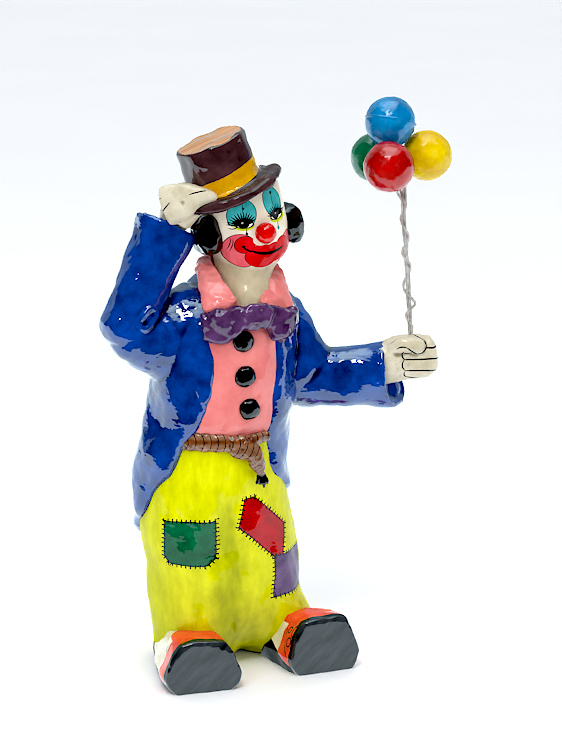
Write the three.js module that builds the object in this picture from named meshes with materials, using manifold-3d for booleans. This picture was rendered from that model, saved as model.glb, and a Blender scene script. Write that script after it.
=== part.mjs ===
// A hand-painted papier-mache clown, 43 cm tall to the top of its balloons, that tips its hat with one
// hand and holds four balloons on twisted wires in the other.
// Millimetres, +Z up, the clown faces -Y, and +X is its left. The origin is on the floor, under the
// middle of the trousers.
// The figure is one skin of pasted paper. Glued on to it are a ball nose, a bow tie and three buttons.
// The balloons are pierced balls, each on its own wire, and the four wires are twisted into one stem.
import * as THREE from "three";
import { mergeVertices } from "three/addons/utils/BufferGeometryUtils.js";
import Module from "manifold-3d";

const wasm = await Module();
wasm.setup();

// Driving sizes
const GLUE_GAP = 0.3; // between a glued piece and the figure
const WAIST_HEIGHT = 181;
const COAT_HEM_HEIGHT = 96;
const COAT_THICKNESS = 2.8;
const CUFF_WALL = 2.5;
const HEAD_CENTRE = [10, -3, 341];
const HEAD_LEAN = 10; // degrees, towards the raised hand
const HEAD_TURN = 4; // degrees, towards the balloons
const BRIM_CENTRE = [-4, -4, 365.6];
const HAT_LEAN = 20.5; // degrees, towards the raised hand
const HAT_NOD = -2; // degrees, forwards
const BRIM_RADIUS = 42;
const BRIM_DROOP = 5; // at the back, on the side away from the raised hand
const CROWN_RADIUS = 28.5; // at the band
const CROWN_HEIGHT = 36.5;
const NOSE_RADIUS = 7.8;
const BUTTON_RADIUS = 8.2;
const BUTTON_HEIGHT = 5.5;
const BALLOON_RADIUS = 19;
const WIRE_RADIUS = 0.8;
const STEM_RADIUS = 1.5; // from the stem's middle line to each wire's
const STEM_TURNS = 3.25;

const degrees = THREE.MathUtils.degToRad;

// Smooth values between the rows of a table, at t from 0, the first row, to 1, the last.
function between(rows, t) {
  const place = Math.min(t, 0.999999) * (rows.length - 1);
  const i = Math.floor(place);
  const f = place - i;
  const row = (k) => rows[Math.min(Math.max(k, 0), rows.length - 1)];
  return rows[0].map((_, c) => {
    const [a, b, d, e] = [row(i - 1)[c], row(i)[c], row(i + 1)[c], row(i + 2)[c]];
    return 0.5 * (2 * b + (d - a) * f + (2 * a - 5 * b + 4 * d - e) * f * f + (3 * b - a - 3 * d + e) * f ** 3);
  });
}

function steps(count) {
  return Array.from({ length: count + 1 }, (_, i) => i / count);
}

function softPower(value, power) {
  return Math.sign(value) * Math.abs(value) ** (2 / power);
}

// A closed solid through rings of the same number of points, with a flat fan over each end.
function skin(rings) {
  const count = rings[0].length;
  const corners = rings.flat();
  const middle = (ring) => ring.reduce((sum, p) => sum.add(p), new THREE.Vector3()).divideScalar(count);
  const bottom = corners.push(middle(rings[0])) - 1;
  const top = corners.push(middle(rings.at(-1))) - 1;
  const faces = [];
  const last = (rings.length - 1) * count;
  for (let j = 0; j < count; j++) {
    const k = (j + 1) % count;
    faces.push(bottom, k, j, top, last + j, last + k);
    for (let r = 0; r < last; r += count) {
      faces.push(r + j, r + k, r + count + k, r + j, r + count + k, r + count + j);
    }
  }
  const triVerts = new Uint32Array(faces);
  const vertProperties = new Float32Array(corners.flatMap((p) => p.toArray()));
  return new wasm.Manifold(new wasm.Mesh({ numProp: 3, vertProperties, triVerts }));
}

// Rows are [height, middle x, middle y, half width, front depth, back depth]. dent(angle, height) says how
// far the wall is pushed in, and angle is 0 at the front and grows towards the clown's left.
function upright(rows, sides, levels, power = 2.2, dent = () => 0) {
  return skin(
    steps(levels).map((t) => {
      const [z, x, y, wide, front, back] = between(rows, t);
      return Array.from({ length: sides }, (_, j) => {
        const angle = (2 * Math.PI * j) / sides;
        const push = dent(angle > Math.PI ? angle - 2 * Math.PI : angle, z);
        const deep = Math.cos(angle) > 0 ? front : back;
        return new THREE.Vector3(
          x + (wide - push) * softPower(Math.sin(angle), power),
          y - (deep - push) * softPower(Math.cos(angle), power),
          z,
        );
      });
    }),
  );
}

// Rings round a line. Rows are [x, y, z, half width, half depth], and side is the way its width points.
function roundLine(rows, side, ts, sides, power = 2.2) {
  return ts.map((t) => {
    const [x, y, z, wide, deep] = between(rows, t);
    const before = between(rows, Math.max(t - 0.01, 0));
    const after = between(rows, Math.min(t + 0.01, 1));
    const travel = new THREE.Vector3(after[0] - before[0], after[1] - before[1], after[2] - before[2]).normalize();
    const across = new THREE.Vector3(...side).addScaledVector(travel, -travel.dot(new THREE.Vector3(...side)));
    across.normalize();
    const up = new THREE.Vector3().crossVectors(travel, across);
    return Array.from({ length: sides }, (_, j) => {
      const angle = (2 * Math.PI * j) / sides;
      return new THREE.Vector3(x, y, z)
        .addScaledVector(across, wide * softPower(Math.cos(angle), power))
        .addScaledVector(up, deep * softPower(Math.sin(angle), power));
    });
  });
}

function middleOf(ring) {
  return ring.reduce((sum, p) => sum.add(p), new THREE.Vector3()).divideScalar(ring.length);
}

// The same ring, its size times share, moved along.
function inset(ring, share, along = new THREE.Vector3()) {
  const middle = middleOf(ring);
  return ring.map((p) => p.clone().sub(middle).multiplyScalar(share).add(middle).add(along));
}

// Rounds off an end of a limb, over a length of reach: three smaller rings beyond its last one.
function domed(rings, reach) {
  const way = middleOf(rings.at(-1)).sub(middleOf(rings.at(-2))).normalize();
  const caps = [0.5, 0.8, 0.96].map((s) => inset(rings.at(-1), Math.sqrt(1 - s * s), way.clone().multiplyScalar(reach * s)));
  return [...rings, ...caps];
}

function limb(rows, side, levels, sides, { start = 0, end = 0, power = 2.2 } = {}) {
  let rings = roundLine(rows, side, steps(levels), sides, power);
  if (end) rings = domed(rings, end);
  if (start) rings = domed(rings.reverse(), start).reverse();
  return skin(rings);
}

function ball(centre, radii, detail = 2) {
  const shape = new THREE.IcosahedronGeometry(1, detail).scale(...radii).translate(...centre);
  return solid(shape);
}

// A three.js geometry as a solid: only its positions count, and its shared corners are merged.
function solid(geometry) {
  const loose = geometry.index ? geometry.toNonIndexed() : geometry;
  const bare = new THREE.BufferGeometry().setAttribute("position", loose.getAttribute("position"));
  const merged = mergeVertices(bare, 1e-3);
  return new wasm.Manifold(
    new wasm.Mesh({
      numProp: 3,
      vertProperties: new Float32Array(merged.attributes.position.array),
      triVerts: new Uint32Array(merged.index.array),
    }),
  );
}

// The largest body of a solid, without slivers and without hollows that nothing reaches.
function outerSkin(shape) {
  return shape.decompose().reduce((big, one) => (one.volume() > big.volume() ? one : big));
}

function moved(shape, matrix) {
  return shape.transform(Array.from(matrix.elements));
}

// A frame with its own up, leaning sideways and nodding forwards, and turned about the upright first.
function leaning(centre, lean, nod, turn) {
  return new THREE.Matrix4()
    .makeTranslation(...centre)
    .multiply(new THREE.Matrix4().makeRotationY(-degrees(lean)))
    .multiply(new THREE.Matrix4().makeRotationX(degrees(nod)))
    .multiply(new THREE.Matrix4().makeRotationZ(degrees(turn)));
}

// Rounded at both ends, 1 in the middle of the width given: it shapes a dent round an angle.
function bump(offset, width) {
  return Math.exp(-((offset / width) ** 2));
}

// Trousers: baggy, gathered at the waist, with a hollow between the legs that deepens towards the floor.
const TROUSERS = [
  [0, 5, 3, 63, 38, 40],
  [16, 3, 2, 64, 42, 43],
  [38, -2.5, 1, 61.5, 45, 44],
  [57, -6.5, 0.5, 58.7, 46, 43],
  [80, -8, 0, 59, 47, 43],
  [100, -11, 0, 59.5, 47, 42],
  [122, -14, 0, 57.5, 47, 42],
  [152, -14.5, -0.5, 54, 45.5, 40],
  [190, -9.5, -1, 51, 45, 38],
];
function trousers() {
  const fork = (angle, z) => 20 * bump(angle - 0.1, 0.32) * Math.exp(-z / 24) + 2.5 * bump(angle - 0.05, 0.22) * bump(z - 80, 50);
  return upright(TROUSERS, 32, 9, 2.15, fork);
}

// The shirt front, from the waist to the neck.
const SHIRT = [
  [168, -13, -0.5, 51, 43, 38],
  [200, -9, -1, 51, 46.5, 37],
  [230, -6, -1, 50, 48, 36],
  [258, -3, -1, 49, 46, 35],
  [278, 1, -2, 42, 37, 33],
  [292, 5, -3, 28, 30, 27],
  [302, 7, -3, 18, 22, 20],
];
function shirt() {
  return upright(SHIRT, 26, 8);
}

// The coat: a layer over shirt and trousers that is open in front, between two angles from straight ahead,
// towards the clown's right and towards its left. Below the waist it opens out to two tails.
const COAT = [
  [COAT_HEM_HEIGHT, -14, 2, 59, 49.5, 48, 122, 122],
  [110, -15, 2, 60.5, 50, 47.5, 97, 102],
  [124, -15.5, 1.5, 61.5, 50, 46, 81, 88],
  [143, -16.5, 1, 60.5, 49.5, 44.5, 66, 50],
  [162, -16.5, 0, 58, 48.5, 43, 49, 33],
  [182, -13, -1, 56.5, 48.5, 41.5, 38, 26],
  [200, -9.5, -1, 55.5, 49.5, 40.5, 32, 27],
  [218, -7.5, -1, 54.7, 50.7, 40, 27, 27],
  [236, -5.5, -1, 54.2, 50.5, 39.5, 27, 24],
  [254, -3.5, -1, 54, 48.5, 39, 27, 21],
  [272, 0, -2, 50.5, 41, 37.5, 26, 20],
  [288, 3, -3, 41, 34, 33, 24, 20],
  [302, 4, -3, 29, 26, 26, 22, 20],
];
function coat() {
  const spans = 24;
  return skin(
    steps(15).map((t) => {
      const [z, x, y, wide, front, back, right, left] = between(COAT, t);
      const arc = steps(spans).map((f) => {
        const angle = degrees(left + f * (360 - left - right));
        const lip = f === 0 || f === 1 ? COAT_THICKNESS * 0.55 : 0;
        const deep = (Math.cos(angle) > 0 ? front : back) - lip;
        return new THREE.Vector3(
          x + (wide - lip) * softPower(Math.sin(angle), 2.2),
          y - deep * softPower(Math.cos(angle), 2.2),
          z,
        );
      });
      return [...arc, new THREE.Vector3(x, y, z)];
    }),
  );
}

// A sleeve: two stretches that meet at the elbow, and a cuff that is open round the wrist. Its lower far
// corner sticks out by corner.
function sleeve(upper, lower, corner) {
  const arm = limb(upper, [0, 1, 0], 4, 16, { start: 8, end: 12 });
  const rings = domed(roundLine(lower, [0, 1, 0], steps(5), 16).reverse(), 12).reverse();
  const mouth = rings.at(-1);
  const out = middleOf(mouth).sub(middleOf(rings.at(-2))).normalize();
  const middle = middleOf(mouth);
  const rim = mouth.map((p) => {
    const off = p.clone().sub(middle);
    return p.clone().addScaledVector(out, corner * Math.max(0, (off.y - off.z) / 40) ** 1.5);
  });
  const inside = inset(rim, 1 - CUFF_WALL / 20);
  return arm.add(skin([...rings.slice(0, -1), rim, inside, inset(inside, 0.92, out.multiplyScalar(-7))]));
}

const RAISED_UPPER = [
  [-28, -1, 256, 30, 39],
  [-47, -2, 254, 27, 35],
  [-66, -4, 257, 24, 26],
  [-82, -6, 262, 21, 19.5],
];
const RAISED_LOWER = [
  [-84, -8, 264, 20, 20.5],
  [-75, -5, 281, 19.5, 20],
  [-64.5, 0, 304.5, 19, 19.5],
  [-47.3, 7, 336.5, 21, 23],
];
const HELD_UPPER = [
  [31.5, -2, 260, 24, 26],
  [43.5, -9, 243, 22, 24.5],
  [54.5, -17, 225.5, 20, 23.5],
];
const HELD_LOWER = [
  [52, -12, 217.5, 20, 23],
  [76, -24, 218.5, 19.5, 23],
  [94, -35, 220, 19.5, 23],
  [110, -44, 222, 20, 24.5],
];

// The raised hand: a palm that bends over the hat's brim, its fingers pressed together, and a thumb in front.
// The grooves between the fingers are only painted.
const RAISED_PALM = [
  [-42, 8, 336, 11, 11],
  [-42, 4, 346, 15, 9.5],
  [-38.5, 0, 356, 18, 8.5],
  [-31, -4, 361.5, 18, 6.5],
  [-23.5, -8, 363.5, 13, 4.5],
];
const RAISED_THUMB = [
  [-41, -12, 343, 6.5, 6],
  [-34.5, -17, 350.5, 6, 6],
  [-26, -20.5, 357.5, 5, 5],
];
function raisedHand() {
  return [
    limb(RAISED_PALM, [0, 1, 0], 7, 14, { end: 4 }),
    limb(RAISED_THUMB, [0, 1, 0], 3, 10, { start: 4, end: 4 }),
  ];
}

// The holding hand: a wrist, a squared fist on which the fingers are only painted, and a thumb over its front.
const WRIST = [
  [103, -41, 227, 13, 14],
  [114, -46, 231, 13.5, 15],
];
const FIST = [
  [105, -43, 230, 12, 14.5],
  [118, -47.5, 234.5, 13, 16.5],
  [132, -53, 236, 12.5, 16],
  [139.5, -55.5, 238, 11.5, 13.5],
];
const FIST_THUMB = [
  [108, -54, 243, 4.5, 4.5],
  [114, -58, 246.5, 5.5, 5.5],
  [121, -61, 247, 6, 6.2],
  [127, -63, 246, 5.5, 5.8],
];
function fist() {
  return [
    limb(WRIST, [0, 1, 0], 1, 12),
    limb(FIST, [0, 1, 0], 5, 16, { end: 4.5, power: 3 }),
    limb(FIST_THUMB, [0, 1, 0], 5, 10, { start: 4, end: 3.5 }),
  ];
}

// Head and neck in the head's own frame: heights run from inside the collar to the crown of the head.
const HEAD = [
  [-56, -13, -2, 20, 28, 18],
  [-46, -11, -2, 21, 24, 18],
  [-37, -6.9, -2, 24.1, 24, 20],
  [-27, 0.2, -1.5, 28.7, 26.5, 22],
  [-14, 1, 0, 29.5, 29, 25],
  [0, 1, 0, 30, 29.5, 27.5],
  [13, 0.5, 0, 30, 29, 28],
  [26, 0.5, 1, 26.5, 25, 25],
  [37, 0, 1, 13, 14, 14],
];
const HEAD_FRAME = leaning(HEAD_CENTRE, HEAD_LEAN, 0, HEAD_TURN);
function head() {
  return moved(upright(HEAD, 24, 11, 2.05), HEAD_FRAME);
}

// Hair: a thick roll from temple to temple round the back of the head, fullest at the temples.
function hair() {
  const rows = steps(8).map((t) => {
    const angle = degrees(-76) + t * degrees(-208);
    const tuft = Math.abs(2 * t - 1) ** 2;
    const radius = 31 + 3.5 * tuft;
    return [radius * Math.sin(angle), -radius * Math.cos(angle), -4 - 9 * t, 12 + 3 * tuft, 7 + 3 * tuft];
  });
  return moved(limb(rows, [0.001, 0.001, 1], 10, 8, { start: 6, end: 6 }), HEAD_FRAME);
}

// The hat: a crown that narrows upwards, with a flat top, and a brim with a rolled edge that droops at the back.
const HAT_FRAME = leaning(BRIM_CENTRE, HAT_LEAN, HAT_NOD, 0);
function hat() {
  const profile = [
    [0, -3],
    [BRIM_RADIUS - 4, -3.5],
    [BRIM_RADIUS - 1, -2.5],
    [BRIM_RADIUS, -0.3],
    [BRIM_RADIUS - 1, 2.2],
    [BRIM_RADIUS - 4, 2.4],
    [CROWN_RADIUS + 3, 0.6],
    [CROWN_RADIUS, 2.2],
    [CROWN_RADIUS - 1.5, CROWN_HEIGHT * 0.5],
    [CROWN_RADIUS - 2.3, CROWN_HEIGHT - 1.2],
    [CROWN_RADIUS - 3.5, CROWN_HEIGHT],
    [0, CROWN_HEIGHT],
  ].map(([r, z]) => new THREE.Vector2(r, z));
  const shape = new THREE.LatheGeometry(profile, 26).rotateX(Math.PI / 2);
  const points = shape.getAttribute("position");
  for (let i = 0; i < points.count; i++) {
    const [x, y] = [points.getX(i), points.getY(i)];
    const beyond = Math.max(0, (Math.hypot(x, y) - CROWN_RADIUS) / (BRIM_RADIUS - CROWN_RADIUS));
    const round = Math.cos(Math.atan2(y, x) - degrees(45));
    points.setZ(i, points.getZ(i) - BRIM_DROOP * beyond * Math.max(0, round));
  }
  return moved(solid(shape), HAT_FRAME);
}

// The shirt collar: rows from the right front corner round the back to the left one, each with the
// collar's edge at the neck and its edge on the coat.
const COLLAR = [
  [-8, -35, 289, -9, -41, 286],
  [-12, -32, 296, -22, -43, 285],
  [-16, -22, 306, -35, -38, 282.5],
  [-18, -13, 311, -31, -21, 296],
  [-14, 6, 313, -24, 8, 303],
  [5, 20, 315, 4, 32, 303],
  [23, 10, 309, 36, 13, 301],
  [26, -9, 306, 43, -9, 290],
  [22, -22, 301, 42, -26, 276],
  [14, -31, 293, 26, -39, 279],
  [7, -35, 287, 8, -41, 285],
];
function collar() {
  const thick = new THREE.Vector3(0, 0, -5);
  return skin(
    steps(18).map((t) => {
      const row = between(COLLAR, t);
      const neck = new THREE.Vector3(...row.slice(0, 3));
      const edge = new THREE.Vector3(...row.slice(3));
      const inward = new THREE.Vector3(4 - edge.x, -edge.y, 0).normalize();
      const bulge = neck.clone().lerp(edge, 0.55).addScaledVector(inward, -2.2).add(new THREE.Vector3(0, 0, 2));
      const under = edge.clone().addScaledVector(inward, 2.5).add(thick);
      const inner = neck.clone().addScaledVector(inward, 4).add(thick).add(thick);
      return [neck, inner, under, edge, bulge];
    }),
  );
}

// The rope belt: a corded band round the front of the waist, its knot, and the end that hangs from it.
function belt() {
  const rows = steps(8).map((t) => {
    const angle = degrees(-50 + t * 76);
    const x = -9.5 + 51 * Math.sin(angle);
    const y = -1 - 45.5 * Math.cos(angle);
    return [x, y, WAIST_HEIGHT + 4.5 - t, 3.8, 8.4 - 4.4 * t];
  });
  const band = limb(rows, [0, -1, 0.001], 10, 8);
  const knot = ball([-10, -48, 178.5], [10, 6, 9.5], 2);
  const loose = [
    [-7, -50, 181, 4.5, 6.5],
    [-1.5, -51.5, 173, 5, 7],
    [3.5, -51, 164, 4.2, 6],
    [6, -50, 157, 3, 4],
    [7.5, -49, 151, 2.4, 4.5],
  ];
  return [band, knot, limb(loose, [0, -1, 0], 6, 8)];
}

// A shoe: rows are [y, middle x, half width at the floor, widest half width, half width on top, height].
function shoe(rows, toeTurn) {
  const outline = (y, x, floor, widest, top, tall) =>
    [
      [-floor, 0],
      [floor, 0],
      [widest - 0.5, tall * 0.12],
      [widest, tall * 0.3],
      [widest * 0.45 + top * 0.55, tall * 0.72],
      [top, tall * 0.95],
      [top * 0.4, tall],
      [-top * 0.4, tall],
      [-top, tall * 0.95],
      [-widest * 0.45 - top * 0.55, tall * 0.72],
      [-widest, tall * 0.3],
      [-widest + 0.5, tall * 0.12],
    ].map(([u, z]) => new THREE.Vector3(x + u, y + u * toeTurn, z));
  const rings = steps(5).map((t) => outline(...between(rows, t)));
  const toe = rings.at(-1);
  const shrunk = toe.map((p) => new THREE.Vector3(p.x, p.y - 2.5, p.z).lerp(middleOf(toe).setZ(p.z * 0.9), 0.06));
  return skin([...rings, shrunk]);
}
const RIGHT_SHOE = [
  [24, -34, 20, 22, 14, 24],
  [-10, -41, 21, 25, 15, 31],
  [-42, -46, 22.5, 28, 16.5, 38],
  [-68.5, -48.5, 24, 29.5, 17.5, 40.5],
];
const LEFT_SHOE = [
  [24, 36, 20, 22, 15, 26],
  [-10, 42, 22, 25, 16, 35],
  [-40, 47, 24, 27.5, 17, 42],
  [-64.5, 50.5, 25.5, 28.5, 18, 44],
];

// The ball nose, the buttons and the bow tie stop a glue gap short of the figure, on every side.
const SHIFTS = [
  [0, -1, 0],
  [1, -0.5, 0],
  [-1, -0.5, 0],
  [0, -0.5, 1],
  [0, -0.5, -1],
];
function gluedOn(shape) {
  return outerSkin(SHIFTS.reduce((rest, way) => rest.subtract(figure.translate(way.map((c) => c * GLUE_GAP))), shape));
}

const NOSE = new THREE.Vector3(0.5, -34, -7).applyMatrix4(HEAD_FRAME).toArray();
const BUTTONS = { top: [-7.5, 258], middle: [-7, 232], bottom: [-3.5, 207] };

function frontAt(height) {
  const t = SHIRT.findIndex(([z]) => z > height) - 1;
  const f = (height - SHIRT[t][0]) / (SHIRT[t + 1][0] - SHIRT[t][0]);
  const [, , y, , front] = between(SHIRT, (t + f) / (SHIRT.length - 1));
  return y - front;
}

// The bow: a knot with a fold across it, and two lobes that widen and then round off.
function bowTie() {
  const lobe = (sign, reach, drop) =>
    limb(
      [
        [1 + sign * reach * 0.18, -47, 277 - drop * 0.1, 5.5, 6],
        [1 + sign * reach * 0.44, -47.5, 275 - drop * 0.3, 7, 9.5],
        [1 + sign * reach * 0.76, -45, 271 - drop * 0.7, 7, 13.5],
        [1 + sign * reach, -41, 269 - drop, 5, 12.5],
      ],
      [0, -1, 0],
      6,
      12,
      { end: 4 },
    );
  const knot = limb([[-10, -49, 275, 7, 8], [1, -51.5, 277, 7.5, 10], [12, -49, 274, 7, 8]], [0, -1, 0], 4, 12, { start: 3, end: 3 });
  return knot.add(lobe(-1, 34, 0)).add(lobe(1, 29, 4));
}

// The stem: each wire climbs in a helix from the fist, then bends out to its own balloon. leaves is where
// round the stem it lets go, in degrees from the clown's left towards its back.
const STEM_FOOT = new THREE.Vector3(127, -47.5, 240);
const STEM_FORK = new THREE.Vector3(120.5, -44, 350);
const BALLOONS = {
  red: { centre: [104.7, -52, 380], leaves: 190 },
  blue: { centre: [116, -28.4, 409], leaves: 280 },
  yellow: { centre: [144.2, -32.6, 383], leaves: 10 },
  green: { centre: [115.7, -3.7, 379], leaves: 100 },
};

function wirePath({ centre, leaves }) {
  const around = (angle, radius) => new THREE.Vector3(Math.cos(angle), Math.sin(angle), 0).multiplyScalar(radius);
  const stem = steps(26).map((t) => {
    const angle = degrees(leaves) - (1 - t) * STEM_TURNS * 2 * Math.PI;
    return STEM_FOOT.clone().lerp(STEM_FORK, t).add(around(angle, STEM_RADIUS));
  });
  const out = new THREE.Vector3(...centre).sub(STEM_FORK);
  const loose = STEM_FORK.clone().addScaledVector(out, 0.12).add(around(degrees(leaves), STEM_RADIUS));
  const end = STEM_FORK.clone().addScaledVector(out, 1 - (BALLOON_RADIUS - 4) / out.length());
  return new THREE.CatmullRomCurve3([...stem, loose, end]);
}

function wire(balloon) {
  const section = new THREE.Shape(
    steps(5).map((t) => new THREE.Vector2(Math.cos((t * 5 * Math.PI) / 3), Math.sin((t * 5 * Math.PI) / 3)).multiplyScalar(WIRE_RADIUS)),
  );
  return solid(new THREE.ExtrudeGeometry(section, { steps: 34, extrudePath: wirePath(balloon) }));
}

function balloonBall(balloon) {
  const curve = wirePath(balloon);
  const end = curve.getPoint(1);
  const way = end.clone().sub(curve.getPoint(0.98)).normalize();
  const bore = WIRE_RADIUS + GLUE_GAP;
  const from = end.clone().addScaledVector(way, -9).toArray();
  const to = end.clone().addScaledVector(way, 1).toArray();
  const hole = limb([[...from, bore, bore], [...to, bore, bore]], [1, 0.1, 0], 1, 8);
  return ball(balloon.centre, [BALLOON_RADIUS, BALLOON_RADIUS, BALLOON_RADIUS], 3).subtract(hole);
}

const stemHole = limb(
  [[...STEM_FOOT.toArray().slice(0, 2), STEM_FOOT.z - 1, 2.9, 2.9], [...STEM_FOOT.toArray().slice(0, 2), 262, 2.9, 2.9]],
  [1, 0, 0],
  1,
  10,
);

const figure = outerSkin(
  [
    trousers(),
    shirt(),
    coat(),
    sleeve(RAISED_UPPER, RAISED_LOWER, 0),
    sleeve(HELD_UPPER, HELD_LOWER, 15),
    ...raisedHand(),
    ...fist(),
    head(),
    hair(),
    hat(),
    collar(),
    ...belt(),
    shoe(RIGHT_SHOE, -0.12),
    shoe(LEFT_SHOE, -0.02),
  ]
    .reduce((whole, piece) => whole.add(piece))
    .subtract(stemHole),
);

const PAINTS = {
  figure: [0x1a3f9e, 0.15],
  nose: [0xd81e14, 0.15],
  bow_tie: [0x6a4675, 0.2],
  button: [0x141214, 0.12],
  wire: [0xb9b4ae, 0.45],
  red: [0xd3201c, 0.15],
  blue: [0x1d8fd6, 0.15],
  yellow: [0xe8c412, 0.2],
  green: [0x167a4c, 0.15],
};

function painted(name, shape, paint) {
  const { vertProperties, triVerts } = shape.getMesh();
  const geometry = new THREE.BufferGeometry()
    .setAttribute("position", new THREE.BufferAttribute(vertProperties, 3))
    .setIndex(new THREE.BufferAttribute(triVerts, 1));
  const [color, roughness] = PAINTS[paint];
  const mesh = new THREE.Mesh(geometry, new THREE.MeshStandardMaterial({ color, roughness, metalness: 0 }));
  mesh.name = name;
  return mesh;
}

const clown = new THREE.Group();
clown.name = "papier_mache_clown";
clown.add(painted("figure", figure, "figure"));
clown.add(painted("nose", gluedOn(ball(NOSE, [NOSE_RADIUS, NOSE_RADIUS, NOSE_RADIUS], 2)), "nose"));
clown.add(painted("bow_tie", gluedOn(bowTie()), "bow_tie"));
for (const [place, [x, z]] of Object.entries(BUTTONS)) {
  const dome = ball([x, frontAt(z), z], [BUTTON_RADIUS, BUTTON_HEIGHT, BUTTON_RADIUS], 2);
  clown.add(painted("button_" + place, gluedOn(dome), "button"));
}
for (const [colour, balloon] of Object.entries(BALLOONS)) {
  clown.add(painted("balloon_" + colour, balloonBall(balloon), colour));
  clown.add(painted("wire_" + colour, wire(balloon), "wire"));
}

export default clown;
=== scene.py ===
import math

import bpy
import numpy as np
from mathutils import Matrix, Vector


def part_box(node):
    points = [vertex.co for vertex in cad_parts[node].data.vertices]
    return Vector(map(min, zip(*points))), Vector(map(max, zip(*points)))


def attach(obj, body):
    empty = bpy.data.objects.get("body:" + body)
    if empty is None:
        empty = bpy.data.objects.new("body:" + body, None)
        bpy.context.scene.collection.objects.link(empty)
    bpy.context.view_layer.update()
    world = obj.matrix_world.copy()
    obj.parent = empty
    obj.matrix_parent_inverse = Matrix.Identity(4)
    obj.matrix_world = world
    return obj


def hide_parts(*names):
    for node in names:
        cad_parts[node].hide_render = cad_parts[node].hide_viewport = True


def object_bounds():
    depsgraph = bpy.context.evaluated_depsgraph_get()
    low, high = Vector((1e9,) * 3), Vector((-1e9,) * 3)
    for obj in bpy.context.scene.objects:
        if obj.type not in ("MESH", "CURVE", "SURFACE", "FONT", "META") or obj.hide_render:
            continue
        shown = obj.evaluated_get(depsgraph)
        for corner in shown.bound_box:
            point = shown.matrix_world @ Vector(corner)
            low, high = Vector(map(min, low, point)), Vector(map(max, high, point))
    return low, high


# A hand-painted papier-mache clown. Shapes are worked out in millimetres and become metres in the mesh.
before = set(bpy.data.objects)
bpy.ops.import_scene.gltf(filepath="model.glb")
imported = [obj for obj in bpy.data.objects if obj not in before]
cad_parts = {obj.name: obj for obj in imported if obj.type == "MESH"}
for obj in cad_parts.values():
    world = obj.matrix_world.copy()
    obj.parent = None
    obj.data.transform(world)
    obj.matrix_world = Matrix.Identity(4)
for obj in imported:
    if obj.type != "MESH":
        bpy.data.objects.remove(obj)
CAD_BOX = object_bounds()


# The view: a camera with a long lens 1.8 m away, round to the clown's right and 14.5 degrees up, as in the
# photograph. Its place in mm was worked out from the photograph's perspective.
def view_from(azimuth, elevation, lens, place):
    """A camera at a place in mm that looks along the line set by azimuth and elevation in degrees."""
    turn, rise = math.radians(azimuth), math.radians(elevation)
    back = Vector((math.sin(turn) * math.cos(rise), -math.cos(turn) * math.cos(rise), math.sin(rise)))
    camera = bpy.data.objects.new("camera", bpy.data.cameras.new("camera"))
    camera.data.lens = lens
    camera.location = Vector(place) / 1000
    camera.rotation_mode = "QUATERNION"
    camera.rotation_quaternion = (-back).to_track_quat("-Z", "Y")
    bpy.context.scene.collection.objects.link(camera)
    bpy.context.scene.camera = camera


VIEW_AZIMUTH = -22.0
view_from(VIEW_AZIMUTH, 14.5, 114.3, (-617.4, -1629.1, 669.1))


# The studio: a white room with a bright ceiling, dark only on the camera's side, where the varnish mirrors
# that darkness in ragged patches. Two broad lamps fill the front and show in no reflection. A third, small
# one stands high on the left and does show, as a window would.
def add(tree, kind, inputs=(), output=0, **settings):
    """Adds one node. Its inputs are numbers, colours or other nodes' outputs, in order or by name."""
    node = tree.nodes.new(kind)
    for name, value in settings.items():
        setattr(node, name, value)
    for key, value in inputs.items() if isinstance(inputs, dict) else enumerate(inputs):
        if isinstance(value, bpy.types.NodeSocket):
            tree.links.new(value, node.inputs[key])
        elif value is not None:
            node.inputs[key].default_value = value
    return node.outputs[output] if node.outputs else node


# The dark reaches 25 degrees past square to the camera on both sides: this is that angle's tangent
PAST_SQUARE = 0.466


def studio(ceiling, walls, dark, overhead, dimmed):
    """Light by direction: ceiling above 56 degrees, else walls, but dark on the camera's side, out to 115
    degrees from it. In the varnish the ceiling is brighter straight overhead by overhead, and the walls are
    dimmer by dimmed."""
    world = bpy.data.worlds.new("studio")
    world.use_nodes = True
    bpy.context.scene.world = world
    tree = world.node_tree
    tree.nodes.clear()
    way = add(tree, "ShaderNodeTexCoord")
    turned = add(tree, "ShaderNodeMapping", {0: way, 2: (0, 0, -math.radians(VIEW_AZIMUTH))})
    across = add(tree, "ShaderNodeSeparateXYZ", [turned])
    along, up = across.node.outputs[1], across.node.outputs[2]
    aside = add(tree, "ShaderNodeMath", [across], operation="ABSOLUTE")
    ahead = add(tree, "ShaderNodeMath", [aside, -PAST_SQUARE, along], operation="MULTIPLY_ADD")
    front = add(tree, "ShaderNodeMapRange", [ahead, 0.03, -0.03])
    top = add(tree, "ShaderNodeMapRange", [up, 0.83, 0.87])
    looked_at = add(tree, "ShaderNodeLightPath")
    in_varnish = looked_at.node.outputs[3]
    unseen = add(tree, "ShaderNodeMath", [1.0, looked_at], operation="SUBTRACT")
    unlit = add(tree, "ShaderNodeMath", [front, unseen], operation="MULTIPLY")
    wall_level = add(tree, "ShaderNodeMath", [in_varnish, -dimmed, walls], operation="MULTIPLY_ADD")
    side_level = add(tree, "ShaderNodeMix", {0: unlit, 2: wall_level, 3: dark}, data_type="FLOAT")
    zenith = add(tree, "ShaderNodeMapRange", [up, 0.87, 0.98, 0.0, overhead])
    top_level = add(tree, "ShaderNodeMath", [in_varnish, zenith, ceiling], operation="MULTIPLY_ADD")
    level = add(tree, "ShaderNodeMix", {0: top, 2: side_level, 3: top_level}, data_type="FLOAT")
    tint = {0: in_varnish, 6: (0.97, 0.985, 1.0, 1.0), 7: (0.74, 0.96, 1.0, 1.0)}
    white = add(tree, "ShaderNodeMix", tint, 2, data_type="RGBA")
    shade = add(tree, "ShaderNodeBackground", [white, level])
    add(tree, "ShaderNodeOutputWorld", [shade])


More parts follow.
